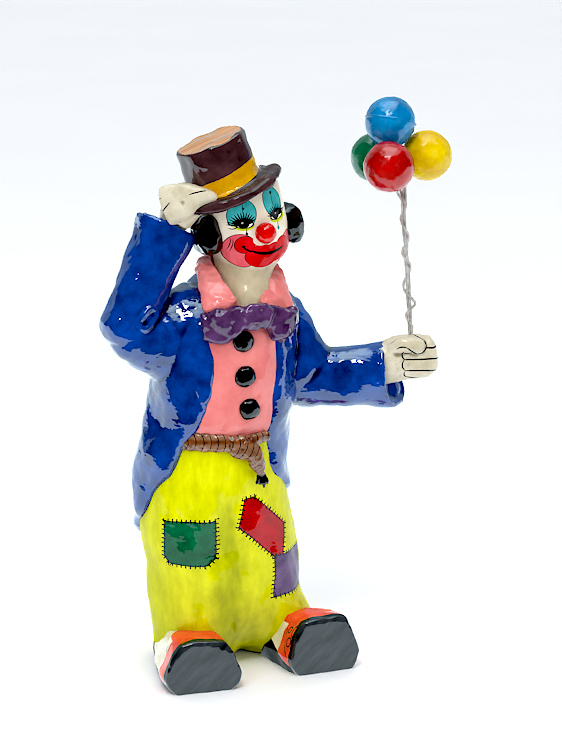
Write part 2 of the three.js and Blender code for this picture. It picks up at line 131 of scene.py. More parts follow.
def lamp(name, place, aim, size, power, mirrored):
    """A square lamp at a place in mm that faces another place; mirrored says whether reflections show it."""
    light = bpy.data.lights.new(name, "AREA")
    light.shape, light.size, light.energy = "SQUARE", size, power
    lamp_object = bpy.data.objects.new(name, light)
    lamp_object.location = Vector(place) / 1000
    lamp_object.rotation_mode = "QUATERNION"
    lamp_object.rotation_quaternion = (Vector(aim) - Vector(place)).to_track_quat("-Z", "Y")
    lamp_object.visible_camera = False
    lamp_object.visible_glossy = mirrored
    bpy.context.scene.collection.objects.link(lamp_object)


studio(ceiling=2.4, walls=1.2, dark=0.02, overhead=2.6, dimmed=0.45)
lamp("fill_left", (-1900, -1500, 1500), (0, 0, 200), 1.2, 22, False)
lamp("fill_right", (700, -2100, 1100), (0, 0, 200), 1.2, 17, False)
lamp("window", (-700, -1000, 2100), (0, 0, 250), 0.5, 13, True)


# The floor: pale paper in two strips that meet 320 mm in front of the clown. Only the strip that the clown
# stands on shows in the varnish, out to its front edge.
def linear(colour):
    """An sRGB hex colour as linear numbers: a power of 2.4 above the toe of the curve, a line below it."""
    parts = [int(colour[i : i + 2], 16) / 255 for i in (1, 3, 5)]
    return (*[c / 12.92 if c <= 0.04045 else ((c + 0.055) / 1.055) ** 2.4 for c in parts], 1.0)


def floor_sheet(name, near, far, half, mirrored):
    """A flat strip of floor turned to the camera's side: near and far are mm in front of and behind the
    clown, and half is half its width."""
    turn = math.radians(VIEW_AZIMUTH)
    ahead, aside = np.array([math.sin(turn), -math.cos(turn)]), np.array([math.cos(turn), math.sin(turn)])
    corners = [ahead * d + aside * s for d, s in ((near, -half), (near, half), (-far, half), (-far, -half))]
    mesh = bpy.data.meshes.new(name)
    mesh.from_pydata([(x / 1000, y / 1000, 0.0) for x, y in corners], [], [(0, 1, 2, 3)])
    sheet = bpy.data.objects.new(name, mesh)
    sheet.visible_glossy = mirrored
    bpy.context.scene.collection.objects.link(sheet)
    return sheet


def paper_floor():
    """Matt white paper, very slightly uneven in tone over 30 cm, which gives the eye a plain ground. The
    varnish mirrors it as bright as it was lit, 2.2 times the white of the picture, and a little blue."""
    material = bpy.data.materials.new("studio_paper")
    material.use_nodes = True
    tree = material.node_tree
    shader = tree.nodes["Principled BSDF"]
    place = add(tree, "ShaderNodeTexCoord", output=3)
    cloud = add(tree, "ShaderNodeTexNoise", {"Vector": place, "Scale": 3.0})
    whites = {0: cloud, 6: linear("#F1F3F6"), 7: linear("#F7F8FA")}
    tone = add(tree, "ShaderNodeMix", whites, 2, data_type="RGBA")
    tree.links.new(tone, shader.inputs["Base Color"])
    shader.inputs["Roughness"].default_value = 0.9
    shader.inputs["Specular IOR Level"].default_value = 0.2
    bright = add(tree, "ShaderNodeEmission", [(0.8, 0.94, 1.0, 1.0), 2.2])
    mirrored = add(tree, "ShaderNodeLightPath", output=3)
    both = add(tree, "ShaderNodeMixShader", [mirrored, shader.outputs[0], bright])
    tree.links.new(both, tree.nodes["Material Output"].inputs[0])
    return material


PAPER_FLOOR = paper_floor()
FLOOR_REACH, FLOOR_EDGE = 9000, 320
floor_strip = floor_sheet("floor", FLOOR_EDGE, FLOOR_REACH, FLOOR_REACH, True)
front_strip = floor_sheet("floor_front", FLOOR_REACH, -FLOOR_EDGE, FLOOR_REACH, False)
for sheet in (floor_strip, front_strip):
    sheet.data.materials.append(PAPER_FLOOR)


# The trousers: the figure's lower body, layers of pasted paper over a core, baggy, with a hollow between the
# legs. They are painted yellow-green in thin uneven coats and varnished, and carry three painted patches.
def between(rows, t):
    """Rows of a table at places t from 0 to 1: a Catmull-Rom cubic through the four nearest rows."""
    rows, t = np.asarray(rows, float), np.atleast_1d(t)
    place = np.minimum(t, 0.999999) * (len(rows) - 1)
    i = np.floor(place).astype(int)
    f = (place - i)[:, None]
    a, b, d, e = (rows[np.clip(i + k, 0, len(rows) - 1)] for k in (-1, 0, 1, 2))
    return 0.5 * (2 * b + (d - a) * f + (2 * a - 5 * b + 4 * d - e) * f**2 + (3 * b - a - 3 * d + e) * f**3)


def soft_power(value, power):
    """Keeps the sign and raises the size to 2 / power, which turns a circle into a rounded square."""
    return np.sign(value) * np.abs(value) ** (2 / power)


def bump(offset, width):
    """1 at no offset, falling as a bell: e to the minus square of offset over width."""
    return np.exp(-((offset / width) ** 2))


def upright(rows, sides, levels, power=2.2, dent=None):
    """Rings up a body. Rows are height, middle x, middle y, half width, front and back depth; the angle is 0
    in front and grows towards the clown's left, and dent(angle, height) pushes the wall in."""
    z, x, y, wide, front, back = between(rows, np.linspace(0, 1, levels + 1)).T[:, :, None]
    angle = np.linspace(0, 2 * np.pi, sides, endpoint=False)[None, :]
    push = 0 if dent is None else dent(np.where(angle > np.pi, angle - 2 * np.pi, angle), z)
    deep = np.where(np.cos(angle) > 0, front, back)
    ring_x = x + (wide - push) * soft_power(np.sin(angle), power)
    ring_y = y - (deep - push) * soft_power(np.cos(angle), power)
    return np.stack([ring_x, ring_y, np.broadcast_to(z, ring_x.shape)], -1)


def closed(rings):
    """Corners and triangles of a skin through rings, with a fan over each end."""
    levels, sides, _ = rings.shape
    corners = np.concatenate([rings.reshape(-1, 3), [rings[0].mean(0), rings[-1].mean(0)]])
    j = np.arange(sides)
    k = (j + 1) % sides
    low = (np.arange(levels - 1) * sides)[:, None]
    a, b, c, d = low + j, low + k, low + sides + k, low + sides + j
    walls = np.stack([np.stack([a, b, c], -1), np.stack([a, c, d], -1)]).reshape(-1, 3)
    foot, head, last = levels * sides, levels * sides + 1, (levels - 1) * sides
    foot_fan = np.stack([np.full(sides, foot), k, j], -1)
    head_fan = np.stack([np.full(sides, head), last + j, last + k], -1)
    return corners, np.concatenate([walls, foot_fan, head_fan])


def pasted(skins, pitch, rounds):
    """One paper skin over closed skins that run into each other: cubes of the pitch in mm, then every point
    is moved halfway to the mean of its neighbours, for a number of rounds. Gives corners and four-sided
    faces."""
    start, corners, faces = 0, [], []
    for points, triangles in skins:
        corners.append(points)
        faces.append(triangles + start)
        start += len(points)
    mesh = bpy.data.meshes.new("pasted")
    mesh.from_pydata(np.concatenate(corners), [], np.concatenate(faces))
    rough = bpy.data.objects.new("pasted", mesh)
    bpy.context.scene.collection.objects.link(rough)
    remesh = rough.modifiers.new("cubes", "REMESH")
    remesh.mode, remesh.voxel_size = "VOXEL", pitch
    smooth = rough.modifiers.new("rounds", "SMOOTH")
    smooth.factor, smooth.iterations = 0.5, rounds
    done = bpy.data.meshes.new_from_object(rough.evaluated_get(bpy.context.evaluated_depsgraph_get()))
    points = np.zeros(len(done.vertices) * 3, np.float32)
    done.vertices.foreach_get("co", points)
    loops = np.zeros(len(done.loops), np.int32)
    done.loops.foreach_get("vertex_index", loops)
    bpy.data.objects.remove(rough)
    bpy.data.meshes.remove(mesh)
    bpy.data.meshes.remove(done)
    return points.reshape(-1, 3).astype(float), loops.reshape(-1, 4)


def outward(points, faces):
    """The way each corner faces: the sum of its faces' cross products, made one long."""
    cross = np.cross(points[faces[:, 2]] - points[faces[:, 0]], points[faces[:, -1]] - points[faces[:, 1]])
    ways = np.zeros_like(points)
    for column in range(faces.shape[1]):
        np.add.at(ways, faces[:, column], cross)
    return ways / np.maximum(np.linalg.norm(ways, axis=1, keepdims=True), 1e-9)


def waves(points, size, seed):
    """Uneven paper, from about -1 to 1: sixteen sine waves of nearly one length in mm, each its own way."""
    pick = np.random.default_rng(seed)
    ways = pick.normal(size=(16, 3))
    lengths = size * pick.uniform(0.75, 1.5, (16, 1))
    ways *= 2 * np.pi / (lengths * np.linalg.norm(ways, axis=1, keepdims=True))
    return np.sin(points @ ways.T + pick.uniform(0, 2 * np.pi, 16)).sum(1) / 4


def uneven(skin, broad, fine, seed):
    """The skin moved in and out along its own outward way by broad and fine waves: (height, length) in mm."""
    points, faces = skin
    push = broad[0] * waves(points, broad[1], seed) + fine[0] * waves(points, fine[1], seed + 1)
    return points + outward(points, faces) * push[:, None], faces


def hollows(points, faces, rounds=10):
    """How far each corner lies below the mean of its surroundings, in mm: that mean is reached by moving
    every corner to the middle of its faces' middles, for a number of rounds."""
    mean, count = points, np.bincount(faces.ravel(), minlength=len(points))[:, None]
    for _ in range(rounds):
        middles = np.repeat(mean[faces].mean(1), faces.shape[1], axis=0)
        sums = [np.bincount(faces.ravel(), middles[:, k], len(points)) for k in range(3)]
        mean = np.stack(sums, -1) / count
    return ((mean - points) * outward(points, faces)).sum(1)


def shown(name, skin, material, node="figure"):
    """A smooth-shaded piece from corners in mm and faces, kept inside a CAD node's box or, with no node,
    inside the whole part's. It carries the depth of its hollows, which the paint darkens as painted shade."""
    points, faces = skin
    low, high = (np.array(corner) * 1000 for corner in (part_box(node) if node else CAD_BOX))
    mesh = bpy.data.meshes.new(name)
    mesh.vertices.add(len(points))
    mesh.vertices.foreach_set("co", (np.clip(points, low, high) / 1000).astype(np.float32).ravel())
    mesh.loops.add(faces.size)
    mesh.loops.foreach_set("vertex_index", faces.astype(np.int32).ravel())
    mesh.polygons.add(len(faces))
    mesh.polygons.foreach_set("loop_start", np.arange(0, faces.size, faces.shape[1], dtype=np.int32))
    mesh.update(calc_edges=True)
    mesh.polygons.foreach_set("use_smooth", np.ones(len(faces), bool))
    depth = mesh.attributes.new("hollow", "FLOAT", "POINT")
    depth.data.foreach_set("value", hollows(points, faces).astype(np.float32))
    mesh.materials.append(material)
    piece = bpy.data.objects.new(name, mesh)
    bpy.context.scene.collection.objects.link(piece)
    return piece


def varnished(name, wobble=0.3, grain=3.0, gloss=1.0, satin=0.02):
    """Matt poster paint on pasted paper under clear varnish that was brushed on and dried unevenly. The
    varnish has waves of the grain in mm, wobble mm high and drawn out sideways, which break the edges of
    reflections into teeth. Gloss is its weight and satin its roughness. Gives the material, its tree, its
    shader and the place on the piece."""
    material = bpy.data.materials.new(name)
    material.use_nodes = True
    tree = material.node_tree
    shader = tree.nodes["Principled BSDF"]
    place = add(tree, "ShaderNodeTexCoord", output=3)
    brushed = add(tree, "ShaderNodeMapping", {0: place, 3: (0.6, 0.6, 1.0)})
    wave = {"Vector": brushed, "Scale": 1000 / (grain * 2), "Detail": 2.0, "Roughness": 0.65}
    runs = add(tree, "ShaderNodeTexNoise", wave)
    height = add(tree, "ShaderNodeBump", {"Strength": 1.0, "Distance": wobble / 1000, "Height": runs})
    tree.links.new(height, shader.inputs["Coat Normal"])
    # Fibres of the paper, about 1.2 mm across and 0.2 mm high
    paper = add(tree, "ShaderNodeTexNoise", {"Vector": place, "Scale": 420.0, "Detail": 2.0})
    under = add(tree, "ShaderNodeBump", {"Strength": 0.5, "Distance": 0.0002, "Height": paper})
    tree.links.new(under, shader.inputs["Normal"])
    shader.inputs["Roughness"].default_value = 0.6
    shader.inputs["IOR"].default_value = 1.45
    shader.inputs["Specular IOR Level"].default_value = 0.0
    shader.inputs["Coat Weight"].default_value = gloss
    shader.inputs["Coat Roughness"].default_value = satin
    shader.inputs["Coat IOR"].default_value = 1.6
    return material, tree, shader, place


def mottled(tree, place, thin, thick, size, sharp=1.0):
    """Paint laid on thin in some places and thick in others, in clouds of a size in mm, which are told apart
    more clearly the sharper they are."""
    cloudy = {"Vector": place, "Scale": 1000 / (size * 2), "Detail": 4.0, "Roughness": 0.6}
    cloud = add(tree, "ShaderNodeTexNoise", cloudy)
    spread = 0.22 / sharp
    amount = add(tree, "ShaderNodeMapRange", [cloud, 0.5 - spread, 0.5 + spread])
    return add(tree, "ShaderNodeMix", {0: amount, 6: linear(thin), 7: linear(thick)}, 2, data_type="RGBA")


def hollow_shade(tree, colour, dark, depth):
    """Painted shade in the hollows: the colour turns to a dark one where they are so many mm deep."""
    hollow = add(tree, "ShaderNodeAttribute", output=2, attribute_name="hollow")
    amount = add(tree, "ShaderNodeMapRange", [hollow, depth * 0.15, depth])
    return add(tree, "ShaderNodeMix", {0: amount, 6: colour, 7: linear(dark)}, 2, data_type="RGBA")


def over(tree, under, colour, inside):
    """A colour painted over another where inside is 1. The colour is a hex one or a node's output."""
    paint = linear(colour) if isinstance(colour, str) else colour
    return add(tree, "ShaderNodeMix", {0: inside, 6: under, 7: paint}, 2, data_type="RGBA")


def facing(tree, place, origin, ways):
    """The place in mm along three ways of its own, from an origin in mm: across, up and out of the drawing. A
    noise that reads it has a scale of one over its length in mm."""
    turn = Matrix(np.array(ways, float).T.tolist()).to_euler("XYZ")
    inputs = {0: place, 1: Vector(origin) / 1000, 2: turn, 3: (0.001, 0.001, 0.001)}
    return add(tree, "ShaderNodeMapping", inputs, vector_type="TEXTURE")


def turned_wall(angle):
    """Ways across, up and out for an upright wall that faces angle degrees from the front, to the clown's
    left."""
    a = math.radians(angle)
    return (math.cos(a), math.sin(a), 0), (0, 0, 1), (math.sin(a), -math.cos(a), 0)


STITCH_PITCH, STITCH_HALF_WIDTH, STITCH_HALF_LENGTH = 3.5, 0.42, 1.75
BLACK_THREAD = "#0C0C08"


def patch(tree, under, spot, corners, cloth):
    """A painted patch: inside all of its sides, which are straight lines from corner to corner in mm, rounded
    where they meet. Black stitches cross every side, with their middles 0.3 mm outside it, over a thin line.
    Only what lies less than 26 mm behind the spot's plane is painted. Gives the colour and the patch's
    inside."""
    flat = add(tree, "ShaderNodeVectorMath", [spot, (1, 1, 0)], operation="MULTIPLY")
    near = add(tree, "ShaderNodeSeparateXYZ", [spot]).node.outputs[2]
    ragged = add(tree, "ShaderNodeTexNoise", {"Vector": spot, "Scale": 0.35, "Detail": 2.0})
    wander = add(tree, "ShaderNodeMath", [ragged, 1.2, -0.6], operation="MULTIPLY_ADD")
    sides, edge = [], None
    for (x0, y0), (x1, y1) in zip(corners, corners[1:] + corners[:1]):
        length = math.hypot(x1 - x0, y1 - y0)
        along, out = ((x1 - x0) / length, (y1 - y0) / length, 0), ((y1 - y0) / length, (x0 - x1) / length, 0)
        reach = add(tree, "ShaderNodeVectorMath", [flat, out], 1, operation="DOT_PRODUCT")
        off = add(tree, "ShaderNodeMath", [reach, x0 * out[0] + y0 * out[1]], operation="SUBTRACT")
        run = add(tree, "ShaderNodeVectorMath", [flat, along], 1, operation="DOT_PRODUCT")
        sides.append((off, run))
        edge = off if edge is None else add(tree, "ShaderNodeMath", [edge, off, 1.5], operation="SMOOTH_MAX")
    edge = add(tree, "ShaderNodeMath", [edge, wander], operation="ADD")
    front = add(tree, "ShaderNodeMath", [near, -26.0], operation="GREATER_THAN")
    inside = add(tree, "ShaderNodeMapRange", [edge, 0.12, -0.12])
    inside = add(tree, "ShaderNodeMath", [inside, front], operation="MULTIPLY")
    paint = over(tree, under, cloth, inside)
    band = add(tree, "ShaderNodeMath", [edge, 0.3, STITCH_HALF_LENGTH], operation="COMPARE")
    thread = None
    for off, run in sides:
        uneven_run = add(tree, "ShaderNodeMath", [wander, 0.9, run], operation="MULTIPLY_ADD")
        comb = add(tree, "ShaderNodeMath", [uneven_run, STITCH_PITCH], operation="FLOORED_MODULO")
        tooth = add(tree, "ShaderNodeMath", [comb, 1.7, STITCH_HALF_WIDTH], operation="COMPARE")
        lag = add(tree, "ShaderNodeMath", [edge, off], operation="SUBTRACT")
        here = add(tree, "ShaderNodeMath", [lag, 0.0, 1.6], operation="COMPARE")
        stitch = add(tree, "ShaderNodeMath", [tooth, here], operation="MULTIPLY")
        if thread is not None:
            stitch = add(tree, "ShaderNodeMath", [thread, stitch], operation="MAXIMUM")
        thread = stitch
    thread = add(tree, "ShaderNodeMath", [thread, band], operation="MULTIPLY")
    rim = add(tree, "ShaderNodeMath", [edge, 0.0, 0.3], operation="COMPARE")
    thread = add(tree, "ShaderNodeMath", [thread, rim], operation="MAXIMUM")
    thread = add(tree, "ShaderNodeMath", [thread, front], operation="MULTIPLY")
    return over(tree, paint, BLACK_THREAD, thread), inside


# Each patch: its middle in mm, the way it faces in degrees from the front, its corners across and up from the
# middle, its thin and thick paint and the size of the clouds in it. They are green, red and purple.
PATCHES = [
    (
        (-47, -37, 106), -36, [(-19, 16), (-20, -12), (-16, -17), (12, -18.5), (18, -13), (19, 17)],
        "#0C7048", "#053C1C", 9,
    ),
    (
        (11, -43, 113), 14, [(-17, 24), (-21, 2), (7, -24), (16, -25), (20, -1), (-9, 25)],
        "#CC0C16", "#860408", 10,
    ),
    ((33, -33, 72), 40, [(-17, 17), (-16, -16), (22, -13), (20, 17)], "#755588", "#38204A", 10),
]


def trouser_paint():
    """Yellow-green poster paint, lemon on the swellings, with olive painted shade in the fold down the front,
    lower down and in the hollows. The patches are painted thicker and take more varnish, and painted contact
    shadow makes the hem just above the floor nearly black."""
    material, tree, shader, place = varnished("varnished_yellow_green_paint", 0.35, 5.0, 0.22)
    strokes = add(tree, "ShaderNodeMapping", {0: place, 3: (1.0, 1.0, 0.42)})
    colour = mottled(tree, place, "#EFEF22", "#D2D60C", 24)
    streaks = mottled(tree, strokes, "#EEF02C", "#A4AA02", 5, 1.3)
    colour = add(tree, "ShaderNodeMix", {0: 0.42, 6: colour, 7: streaks}, 2, data_type="RGBA")
    # Painted shade in the fold is full within 3 mm of a wandering line up the front, and gone 20 mm from it
    # and above 158 mm. Painted shade on the lower part grows from 110 mm down to 30 mm.
    front = facing(tree, place, (-17, -47, 0), turned_wall(0))
    wide = add(tree, "ShaderNodeTexNoise", {"Vector": front, "Scale": 0.06, "Detail": 3.0})
    across = add(tree, "ShaderNodeSeparateXYZ", [front])
    up = across.node.outputs[1]
    off = add(tree, "ShaderNodeMath", [wide, 30.0, across], operation="MULTIPLY_ADD")
    off = add(tree, "ShaderNodeMath", [off, 14.0], operation="SUBTRACT")
    off = add(tree, "ShaderNodeMath", [off], operation="ABSOLUTE")
    fold = add(tree, "ShaderNodeMapRange", [off, 20.0, 3.0], interpolation_type="SMOOTHSTEP")
    high = add(tree, "ShaderNodeMapRange", [up, 158.0, 128.0], interpolation_type="SMOOTHSTEP")
    fold = add(tree, "ShaderNodeMath", [fold, high], operation="MULTIPLY")
    low = add(tree, "ShaderNodeMapRange", [up, 110.0, 30.0, 0.0, 0.36])
    shade = add(tree, "ShaderNodeMath", [fold, 0.55, low], operation="MULTIPLY_ADD")
    colour = over(tree, colour, mottled(tree, strokes, "#B6BC00", "#8A9200", 5), shade)
    # Painted shade in the hollows, olive where they are deepest
    colour = hollow_shade(tree, colour, "#8C9600", 1.0)
    patched = None
    for middle, angle, corners, thin, thick, size in PATCHES:
        spot = facing(tree, place, middle, turned_wall(angle))
        colour, inside = patch(tree, colour, spot, corners, mottled(tree, place, thin, thick, size))
        if patched is not None:
            inside = add(tree, "ShaderNodeMath", [patched, inside], operation="MAXIMUM")
        patched = inside
    # Painted contact shadow: the hem is nearly black within 1.6 mm of the floor
    hem = add(tree, "ShaderNodeMapRange", [up, 1.6, 1.2])
    colour = over(tree, colour, "#16200C", hem)
    tree.links.new(colour, shader.inputs["Base Color"])
    # No varnish at the hem, a thin coat from 30 mm up, and twice as much on the patches
    plain = add(tree, "ShaderNodeMapRange", [up, 12.0, 30.0, 0.0, 0.24])
    coat_weight = add(tree, "ShaderNodeMapRange", [patched, 0.0, 1.0, plain, 0.5])
    tree.links.new(coat_weight, shader.inputs["Coat Weight"])
    return material


# Rows from hem to waist: height, middle x and y, half width, front and back depth
TROUSERS = [
    [-2, 5, 3, 63, 38, 40],
    [16, 3, 2, 64, 42, 43],
    [38, -2.5, 1, 61.5, 45, 44],
    [57, -6.5, 0.5, 58.7, 46, 43],
    [80, -8, 0, 59, 47, 43],
    [100, -11, 0, 59.5, 47, 42],
    [122, -14, 0, 57.5, 47, 42],
    [152, -14.5, -0.5, 54, 45.5, 40],
    [186, -10, -1, 48.5, 42.5, 37],
]


def fork(angle, z):
    """How far the trousers' wall is pushed in, in mm: a hollow in front, 40 mm deep at the floor and fading
    upwards, a fold above it, less the ridge to its right and a bulge over each shoe."""
    hollow = 40 * bump(angle - 0.02, 0.42) * np.exp(-np.maximum(z, 0) / 21)
    fold = 6.5 * bump(angle + 0.08, 0.2) * bump(z - 105, 45)
    cuffs = 6.5 * bump(z - 34, 21) * (bump(angle + 0.66, 0.34) + bump(angle - 0.8, 0.34))
    ridge = 2.8 * bump(angle + 0.4 - (z - 120) / 160, 0.14) * bump(z - 128, 28)
    return hollow + fold - cuffs - ridge


trousers_form = closed(upright(TROUSERS, 96, 60, 2.15, fork))
trousers_skin = uneven(pasted([trousers_form], 2.0, 6), (0.8, 36), (0.14, 9), 11)
trousers = shown("trousers", trousers_skin, trouser_paint())
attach(trousers, "root")
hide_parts("figure")


# The shoes: blunt wedges of pasted paper with flat upturned toes that look out from under the hem. Toes and
# soles are black, the uppers red with black curls, and the sides cream, all painted on and varnished.
def shoe(rows, toe_turn):
    """Rings from heel to toe. Rows are y, middle x, half width at the floor, widest half width, half width on
    top, and height; the toe is turned by a share of the way across. Each ring is half a section and its
    mirror image, and the last one is drawn in a little, which rounds the toe's edge."""
    y, x, floor, widest, top, tall = between(rows, np.linspace(0, 1, 41)).T
    waist = widest * 0.45 + top * 0.55
    half = [
        (floor, 0 * tall - 2),
        (widest - 1.8, tall * 0.12),
        (widest, tall * 0.3),
        (waist, tall * 0.72),
        (top, tall * 0.95),
        (top * 0.4, tall),
    ]
    ring = [(-half[0][0], half[0][1]), *half, *[(-u, z) for u, z in half[:0:-1]]]
    rings = np.stack([np.stack([x + u, y + u * toe_turn, z], -1) for u, z in ring], 1)
    toe = rings[-1]
    middle = np.array([toe[:, 0].mean(), toe[:, 1].mean(), tall[-1] * 0.45])
    rings = np.concatenate([rings, [(toe - (0, 2.5, 0)) * 0.94 + middle * 0.06]])
    return closed(rings)


def oval(tree, spot, centre, radii, tilt=0.0):
    """How far out of an oval a spot is: 0 in its middle and 1 on its edge. Tilt is in degrees."""
    inputs = {0: spot, 1: (*centre, 0), 2: (0, 0, math.radians(tilt)), 3: (*radii, 1)}
    own = add(tree, "ShaderNodeMapping", inputs, vector_type="TEXTURE")
    return add(tree, "ShaderNodeVectorMath", [own], 1, operation="LENGTH")


INK = "#1A1713"


def stroke(tree, under, spot, start, end, bow, width, colour=INK):
    """A brush stroke from start to end in mm, thickest in its middle and bowed sideways by bow mm."""
    run = (end[0] - start[0], end[1] - start[1])
    half = math.hypot(*run) / 2
    centre = ((start[0] + end[0]) / 2, (start[1] + end[1]) / 2, 0)
    turn = (0, 0, math.atan2(run[1], run[0]))
    inputs = {0: spot, 1: centre, 2: turn, 3: (half, 1, 1)}
    own = add(tree, "ShaderNodeMapping", inputs, vector_type="TEXTURE")
    along = add(tree, "ShaderNodeSeparateXYZ", [own])
    square = add(tree, "ShaderNodeMath", [along, along], operation="MULTIPLY")
    taper = add(tree, "ShaderNodeMath", [1.0, square], operation="SUBTRACT")
    off = add(tree, "ShaderNodeMath", [taper, -bow, along.node.outputs[1]], operation="MULTIPLY_ADD")
    off = add(tree, "ShaderNodeMath", [off], operation="ABSOLUTE")
    blunt = add(tree, "ShaderNodeMath", [taper, 0.35], operation="POWER")
    half_width = add(tree, "ShaderNodeMath", [blunt, width / 2], operation="MULTIPLY")
    inside = add(tree, "ShaderNodeMath", [half_width, off], operation="SUBTRACT")
    ink = add(tree, "ShaderNodeMapRange", [inside, -0.04, 0.06])
    return over(tree, under, colour, ink)


def shoe_paint(name, toe_place, toe_ways, rise, curls, ticks):
    """Poster paint in zones by how far a spot lies behind the toe's face: a black face with grey smears of
    painted reflection, a black edge to 7 mm, red to about 25 mm at the side and all along the top, then
    cream. The sole's black edge is 3 mm high and grows towards the heel by rise. Curls are rings and ticks
    short strokes on the right wall, in mm ahead of the face and up. The varnish is thickest on the face,
    thinner on the upper and thinnest on the sole."""
    material, tree, shader, place = varnished(name, wobble=0.27, grain=7.5)
    spot = facing(tree, place, toe_place, toe_ways)
    across = add(tree, "ShaderNodeSeparateXYZ", [spot])
    up, out = across.node.outputs[1], across.node.outputs[2]
    ragged = add(tree, "ShaderNodeTexNoise", {"Vector": spot, "Scale": 0.25, "Detail": 2.0})
    wander = add(tree, "ShaderNodeMath", [ragged, 3.0, -1.5], operation="MULTIPLY_ADD")
    colour = mottled(tree, place, "#F2643C", "#DE3A2A", 7)
    # Cream, on the walls below 35 mm
    back = add(tree, "ShaderNodeMath", [up, -0.15, out], operation="MULTIPLY_ADD")
    back = add(tree, "ShaderNodeMath", [back, wander], operation="ADD")
    cream = add(tree, "ShaderNodeMapRange", [back, -25.6, -26.2])
    wall = add(tree, "ShaderNodeMapRange", [up, 35.5, 35.0])
    cream = add(tree, "ShaderNodeMath", [cream, wall], operation="MULTIPLY")
    colour = over(tree, colour, mottled(tree, place, "#EFE9D2", "#CFC59F", 6), cream)
    # Curls and ticks
    drawn = facing(tree, place, toe_place, turned_wall(-90))
    plane = add(tree, "ShaderNodeVectorMath", [drawn, (1, 1, 0)], operation="MULTIPLY")
    sideways = add(tree, "ShaderNodeSeparateXYZ", [drawn]).node.outputs[2]
    lined = colour
    for centre, radii, tilt in curls:
        far = oval(tree, plane, centre, radii, tilt)
        ring = add(tree, "ShaderNodeMath", [far, 1.0, 0.4 / min(radii)], operation="COMPARE")
        lined = over(tree, lined, "#15100C", ring)
    for start, end, bow, width in ticks:
        lined = stroke(tree, lined, plane, start, end, bow, width)
    shows = add(tree, "ShaderNodeMath", [sideways, 12.0], operation="GREATER_THAN")
    colour = over(tree, colour, lined, shows)
    # The sole's edge and the toe's
    edge = add(tree, "ShaderNodeMath", [out, rise, up], operation="MULTIPLY_ADD")
    edge = add(tree, "ShaderNodeMath", [wander, 0.6, edge], operation="MULTIPLY_ADD")
    sole = add(tree, "ShaderNodeMapRange", [edge, 3.2, 2.8])
    colour = over(tree, colour, mottled(tree, place, "#101C14", "#030504", 5), sole)
    reach = add(tree, "ShaderNodeMath", [wander, 0.7, out], operation="MULTIPLY_ADD")
    toe = add(tree, "ShaderNodeMapRange", [reach, -7.2, -6.8])
    colour = over(tree, colour, "#050606", toe)
    # The toe's face: black with slanting grey smears 7 mm wide, a painted reflection of the pale floor
    face = add(tree, "ShaderNodeMapRange", [out, -3.6, -3.0])
    slope = {0: spot, 2: (0, 0, math.radians(-50)), 3: (7.0, 30.0, 30.0)}
    slanted = add(tree, "ShaderNodeMapping", slope, vector_type="TEXTURE")
    smears = add(tree, "ShaderNodeTexNoise", {"Vector": slanted, "Scale": 1.0, "Detail": 3.0})
    smears = add(tree, "ShaderNodeMapRange", [smears, 0.35, 0.7])
    greys = {0: smears, 6: linear("#191C1F"), 7: linear("#3A3F44")}
    floor_reflection_smears = add(tree, "ShaderNodeMix", greys, 2, data_type="RGBA")
    colour = over(tree, colour, floor_reflection_smears, face)
    tree.links.new(colour, shader.inputs["Base Color"])
    side = add(tree, "ShaderNodeMapRange", [out, -4.0, -5.0])
    dull = add(tree, "ShaderNodeMath", [sole, 0.4, 0.33], operation="MULTIPLY_ADD")
    dull = add(tree, "ShaderNodeMath", [side, dull], operation="MULTIPLY")
    coat_weight = add(tree, "ShaderNodeMapRange", [dull, 0.0, 1.0, 0.8, 0.0])
    tree.links.new(coat_weight, shader.inputs["Coat Weight"])
    return material


RIGHT_SHOE = [
    [24, -34, 20, 22, 14, 24],
    [-10, -41, 21, 25, 15, 31],
    [-42, -46, 22.5, 28, 16.5, 38],
    [-68.5, -48.5, 20, 29.5, 17.5, 40.5],
]
LEFT_SHOE = [
    [24, 36, 20, 22, 15, 26],
    [-10, 42, 22, 25, 16, 35],
    [-40, 47, 24, 27.5, 17, 42],
    [-64.5, 50.5, 22, 28.5, 18, 44],
]
LEFT_CURLS = [
    ((-7.0, 33.0), (2.8, 4.2), 10),
    ((-10.5, 24.5), (2.4, 3.6), -20),
    ((-14.5, 32.5), (2.2, 2.0), 30),
]
LEFT_TICKS = [
    ((-20.5, 33.0), (-18.0, 27.5), 0.8, 1.0),
    ((-23.0, 29.0), (-21.0, 24.0), 0.6, 0.9),
    ((-16.0, 20.5), (-13.0, 15.0), 0.6, 0.9),
    ((-12.0, 17.5), (-9.0, 13.0), -0.6, 0.9),
]
RIGHT_TICKS = [((-23.5, 33.0), (-22.0, 27.0), 0.4, 0.9), ((-27.0, 30.0), (-26.0, 25.0), 0.3, 0.9)]
for name, rows, toe_turn, toe_y, rise, curls, ticks in (
    ("shoe_right", RIGHT_SHOE, -0.12, -71.0, 0.12, [], RIGHT_TICKS),
    ("shoe_left", LEFT_SHOE, -0.02, -67.0, 0.42, LEFT_CURLS, LEFT_TICKS),
):
    skin = uneven(pasted([shoe(rows, toe_turn)], 1.2, 16), (0.45, 18), (0.09, 6), 21 + len(name))
    toe_place, toe_ways = (rows[-1][1], toe_y, 0), turned_wall(math.degrees(math.atan(toe_turn)))
    paint = shoe_paint("varnished_" + name + "_paint", toe_place, toe_ways, rise, curls, ticks)
    piece = shown(name, skin, paint)
    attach(piece, "root")
    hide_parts("figure")


# The shirt: the body from waist to neck, one skin of pasted paper with the trousers. It is painted salmon
# pink and shows only in front, between the coat's edges.
def plain_paint(name, thin, thick, size, wobble=0.2, grain=5.0, gloss=1.0, satin=0.02):
    """One poster colour, unevenly laid on, under varnish."""
    material, tree, shader, place = varnished(name, wobble, grain, gloss, satin)
    tree.links.new(mottled(tree, place, thin, thick, size), shader.inputs["Base Color"])
    return material


